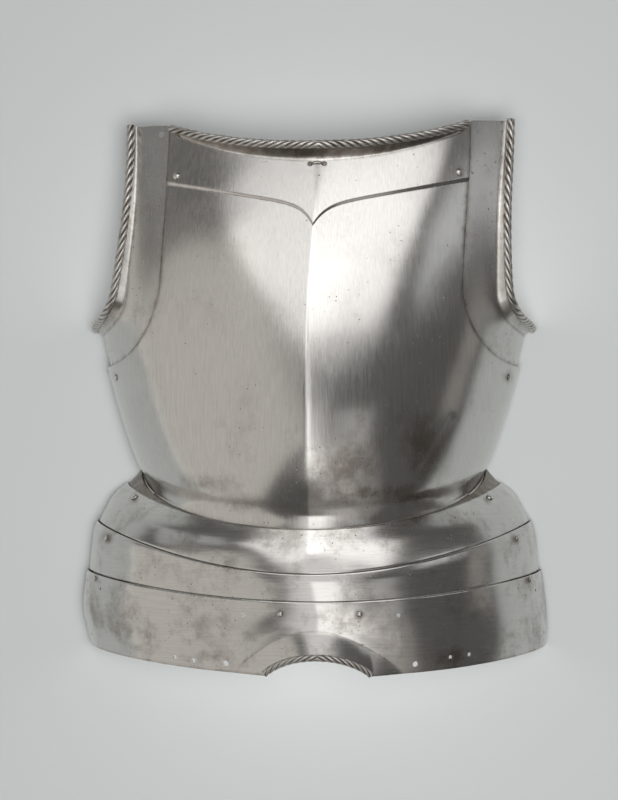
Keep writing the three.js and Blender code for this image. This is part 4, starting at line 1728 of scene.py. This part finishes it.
@dataclass
class Rivets:
    """All the rivets, made in one piece for each body."""

    finish: Steel
    dome: float = 0.62
    shank: float = 0.42

    def build(self) -> None:
        """Sets the rivets of every body."""
        recipe = RivetRecipe()
        for body in Body:
            pairs = [pair for pair in RIVETS if pair.body is body]
            rows = [(pair, side) for pair in pairs for side in Side]
            x, y = np.array([seat for pair in pairs for seat in pair.seats()]).T
            u, v = FORM.place(x, y)
            facing, places = FORM.normal(u, v), FORM.point(u, v)
            if body is Body.BREAST:
                places = FORM.settle(places)
            places = places + facing * np.array([pair.on for pair, _ in rows])[:, None]
            name = f"rivets_{body.value}"
            carrier = framed_mesh(name, places)
            mark_points(carrier, "facing", facing)
            for key in ("head", "grip"):
                mark_points(carrier, key, np.array([getattr(pair, key) * MM for pair, _ in rows]))
            values = {"Finish": self.finish.material(), "Dome": self.dome, "Shank": self.shank}
            piece = recipe.run(name, carrier, values)
            tie(piece, body, [f"{pair.name}_{side.word}" for pair, side in rows])


@dataclass
class NeckStaple:
    """The wire staple in the neck band, whose two legs go through the plate."""

    finish: Steel
    y: float = 204.0
    half: float = 4.7
    bow_up: float = 2.4
    bow_foot: float = 0.4
    bow_out: float = 3.0
    leg: float = 6.0
    wire: Roll = Roll(0.6, 0.0, 5.0)
    clench: float = 3.2
    clench_x: float = 5.4
    clench_depths: tuple[float, float] = (-1.6, -0.5)

    def build(self, winder: RollRecipe) -> None:
        """Bends the wire and clenches its two ends behind the plate.

        Args:
            winder: What makes the wire.
        """
        u, v = FORM.place(0.0, self.y)
        base = FORM.settle(FORM.point(u, v))
        turn = np.linspace(0.0, math.pi, 25)
        out = self.bow_foot + self.bow_out * np.sin(turn) ** 0.8
        bow = np.stack([-self.half * np.cos(turn), self.bow_up * np.sin(turn), out], axis=-1)
        path = np.array([[-self.half, 0.0, -self.leg], *bow.tolist(), [self.half, 0.0, -self.leg]])
        pieces = [winder.wind("neck_staple_wire", base + path, self.wire, self.finish, 0.0)]
        for side, hole in zip(Side, both_sides(self.clench_x, self.y, self.clench)):
            end = mesh_object(f"neck_staple_{side.word}_end", *hole.rod(*self.clench_depths, True))
            end.data.materials.append(self.finish.material())
            mark_points(end.data, "seam", np.full(len(end.data.vertices), 0.8))
            pieces.append(end)
        for piece in pieces:
            tie(piece, Body.BREAST, ["neck_staple"])


# ------------------------------------------------------------------------------ studio


WARM = (1.0, 0.965, 0.915)
ROSY = (1.0, 0.95, 0.92)
COOL = (0.95, 0.98, 1.0)
PALE = (0.965, 0.988, 0.99)
PLAIN = (1.0, 1.0, 1.0)


@dataclass(frozen=True)
class Softbox:
    """A soft lamp. It hangs at x, y, z in metres and faces a target, turned about its own axis.

    A mirrored lamp shows in polished metal only, and any other lights only what is dull.
    """

    name: str
    place: tuple[float, float, float]
    size: tuple[float, float]
    strength: float
    colour: tuple[float, float, float] = PLAIN
    target: tuple[float, float, float] = (0.0, 0.05, 0.1)
    turn: float = 0.0
    mirrored: bool = True

    def hang(self) -> None:
        """Hangs the lamp. strength is what its face shines with, so power grows with its area."""
        light = bpy.data.lights.new(self.name, "AREA")
        light.shape = "RECTANGLE"
        light.size, light.size_y = self.size
        light.energy = self.strength * math.pi * self.size[0] * self.size[1]
        light.color = self.colour
        lamp = linked(self.name, light)
        lamp.location = self.place
        facing = (Vector(self.place) - Vector(self.target)).to_track_quat("Z", "Y")
        lamp.rotation_euler = (facing @ Quaternion((0.0, 0.0, 1.0), self.turn)).to_euler()
        lamp.visible_camera = False
        lamp.visible_glossy = self.mirrored
        lamp.visible_diffuse = not self.mirrored


@dataclass
class Studio:
    """A plain pale floor, soft lamps and the camera."""

    floor: Colour = (0.615, 0.628, 0.624, 1.0)
    around: Colour = (0.107, 0.105, 0.102, 1.0)
    half: float = 4.0
    aim: tuple[float, float, float] = (-0.0055, -0.00665, 0.0)
    distance: float = 2.6
    tilt: float = math.radians(2.1)
    seen_height: float = 0.736
    lamps: tuple[Softbox, ...] = (
        Softbox("overhead", (0.04, -0.05, 1.36), (0.78, 1.70), 0.78, target=(0.04, -0.05, 0.0)),
        Softbox("top_left", (-0.15, 0.47, 0.66), (0.40, 0.39), 1.15, turn=0.24),
        Softbox("top_right", (0.20, 0.44, 0.60), (0.46, 0.35), 1.02, turn=0.22),
        Softbox("left_wall", (-1.26, -0.53, 1.31), (2.60, 3.99), 0.52, WARM, (0.0, -0.53, 1.31), 0.58),
        Softbox("upper_left_wall", (-1.58, 1.62, 0.82), (0.83, 1.81), 0.36, COOL, (0.0, 1.62, 0.82), 0.72),
        Softbox("low_fill", (0.39, -0.76, 0.80), (0.74, 1.29), 0.20, ROSY, turn=-0.43),
        Softbox("side_glint", (0.53, -0.07, 1.03), (0.34, 0.26), 0.36, turn=0.09),
        Softbox("overhead_core", (0.17, -0.33, 1.55), (0.42, 1.10), 0.62, PLAIN, (0.17, -0.33, 0.0), 0.03),
        Softbox("top_back", (0.26, 0.55, 0.80), (0.52, 0.40), 0.44, turn=-0.14),
        Softbox("right_glint", (1.07, 0.54, 0.70), (0.24, 0.65), 0.64, COOL, turn=-0.26),
        Softbox("right_wall", (1.83, 0.36, 0.33), (1.10, 0.42), 0.20, WARM, (0.0, 0.36, 0.33), -0.17),
        Softbox("low_core", (0.32, -0.50, 0.72), (0.22, 0.81), 0.25, ROSY, turn=-0.57),
        Softbox("floor_fill", (0.3, -0.3, 3.3), (1.4, 1.4), 14.6, PALE, (0.0, 0.0, 0.0), mirrored=False),
        Softbox(
            "inside_fill", (0.0, -0.03, 0.12), (0.20, 0.34), 1.9, target=(0.0, -0.03, 0.0), mirrored=False
        ),
    )

    def build(self) -> None:
        """Sets up the floor, the surrounding light, the lamps and the camera."""
        shader = Shader("floor_paper")
        paper = shader.finish({"Base Color": self.floor, "Roughness": 0.9}, {})
        corners = np.array([[-1, -1, 0], [1, -1, 0], [1, 1, 0], [-1, 1, 0]]) * self.half
        mesh = bpy.data.meshes.new("floor")
        mesh.from_pydata(corners.tolist(), [], [(0, 1, 2, 3)])
        mesh.materials.append(paper)
        linked("floor", mesh)
        world = bpy.data.worlds.new("studio")
        world.use_nodes = True
        background = world.node_tree.nodes["Background"]
        background.inputs["Color"].default_value = self.around
        background.inputs["Strength"].default_value = 1.0
        bpy.context.scene.world = world
        bpy.context.scene.view_settings.view_transform = "Standard"
        for lamp in self.lamps:
            lamp.hang()
        self.stand_camera()

    def stand_camera(self) -> None:
        """Stands the camera over the breastplate, tilted a little to the right."""
        camera = bpy.data.cameras.new("camera")
        camera.lens = self.distance / self.seen_height * camera.sensor_width
        stand = linked("camera", camera)
        away = Vector((math.sin(self.tilt), 0.0, math.cos(self.tilt)))
        stand.location = Vector(self.aim) + self.distance * away
        stand.rotation_euler = (0.0, self.tilt, 0.0)
        bpy.context.scene.camera = stand


# ------------------------------------------------------------------------------ assembly


def frame_shift(lame: Lame) -> np.ndarray:
    """Measures how far the solids' frame lies from the form's own.

    Args:
        lame: A plate of which both are known.

    Returns:
        The shift in x and y, in millimetres.
    """
    own = lame.surface().shell(False)[0]
    middle = (own.min(axis=0) + own.max(axis=0)) / 2.0
    return (np.mean(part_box(lame.name), axis=0) / MM - middle) * [1.0, 1.0, 0.0]


def main() -> None:
    """Builds the breastplate in the frame of its solids."""
    logging.basicConfig(level=logging.INFO, format="%(name)s %(message)s")
    chest = Steel("breast_polish", tarnish=0.14)
    edge = Steel("gusset_polish", tarnish=0.35, roughness=0.25)
    roped = Steel("roll_polish", grain=Grain.NONE, roughness=0.30, tarnish=0.5)
    skirt = Steel("fauld_polish", grain=Grain.LEVEL, tarnish=0.36)
    # Painted shade: the waist band's steel is darker than the rest, for the dark hollow above the first lame.
    band = Steel("waist_painted_shade", clean=(0.40, 0.38, 0.355, 1.0), grain=Grain.LEVEL, roughness=0.32)
    iron = Steel("rivet_polish", grain=Grain.NONE, roughness=0.28, pits=0.3)
    wire = Steel("staple_patina", clean=(0.55, 0.52, 0.48, 1.0), grain=Grain.NONE, roughness=0.38)

    second = Lame("fauld_lame_2", Body.LAME_2, skirt, level(FORM.second), FORM.third, LAPS.short_lap, seed=13)
    FORM.shift = frame_shift(second)
    LOG.info("frame shift %s mm", np.round(FORM.shift, 3))

    winder = RollRecipe()
    BreastPlate(chest, roped).build(winder)
    for side in Side:
        Gusset(side, edge, roped).build(winder)
    WaistLame("waist_lame", Body.BREAST, band, level(FORM.waist), FORM.hem, 0.0).build()
    Lame("fauld_lame_1", Body.LAME_1, skirt, first_top, FORM.second, LAPS.lap, seed=7).build()
    second.build()
    third = level(FORM.third)
    last = ArchLame("fauld_lame_3", Body.LAME_3, skirt, third, FORM.hem, 0.0, seed=19, holes=SKIRT_HOLES)
    last.build()
    last.build_plug()
    last.build_roll(winder, roped)
    Rivets(iron).build()
    NeckStaple(wire).build(winder)
    Studio().build()


if __name__ == "__main__":
    main()
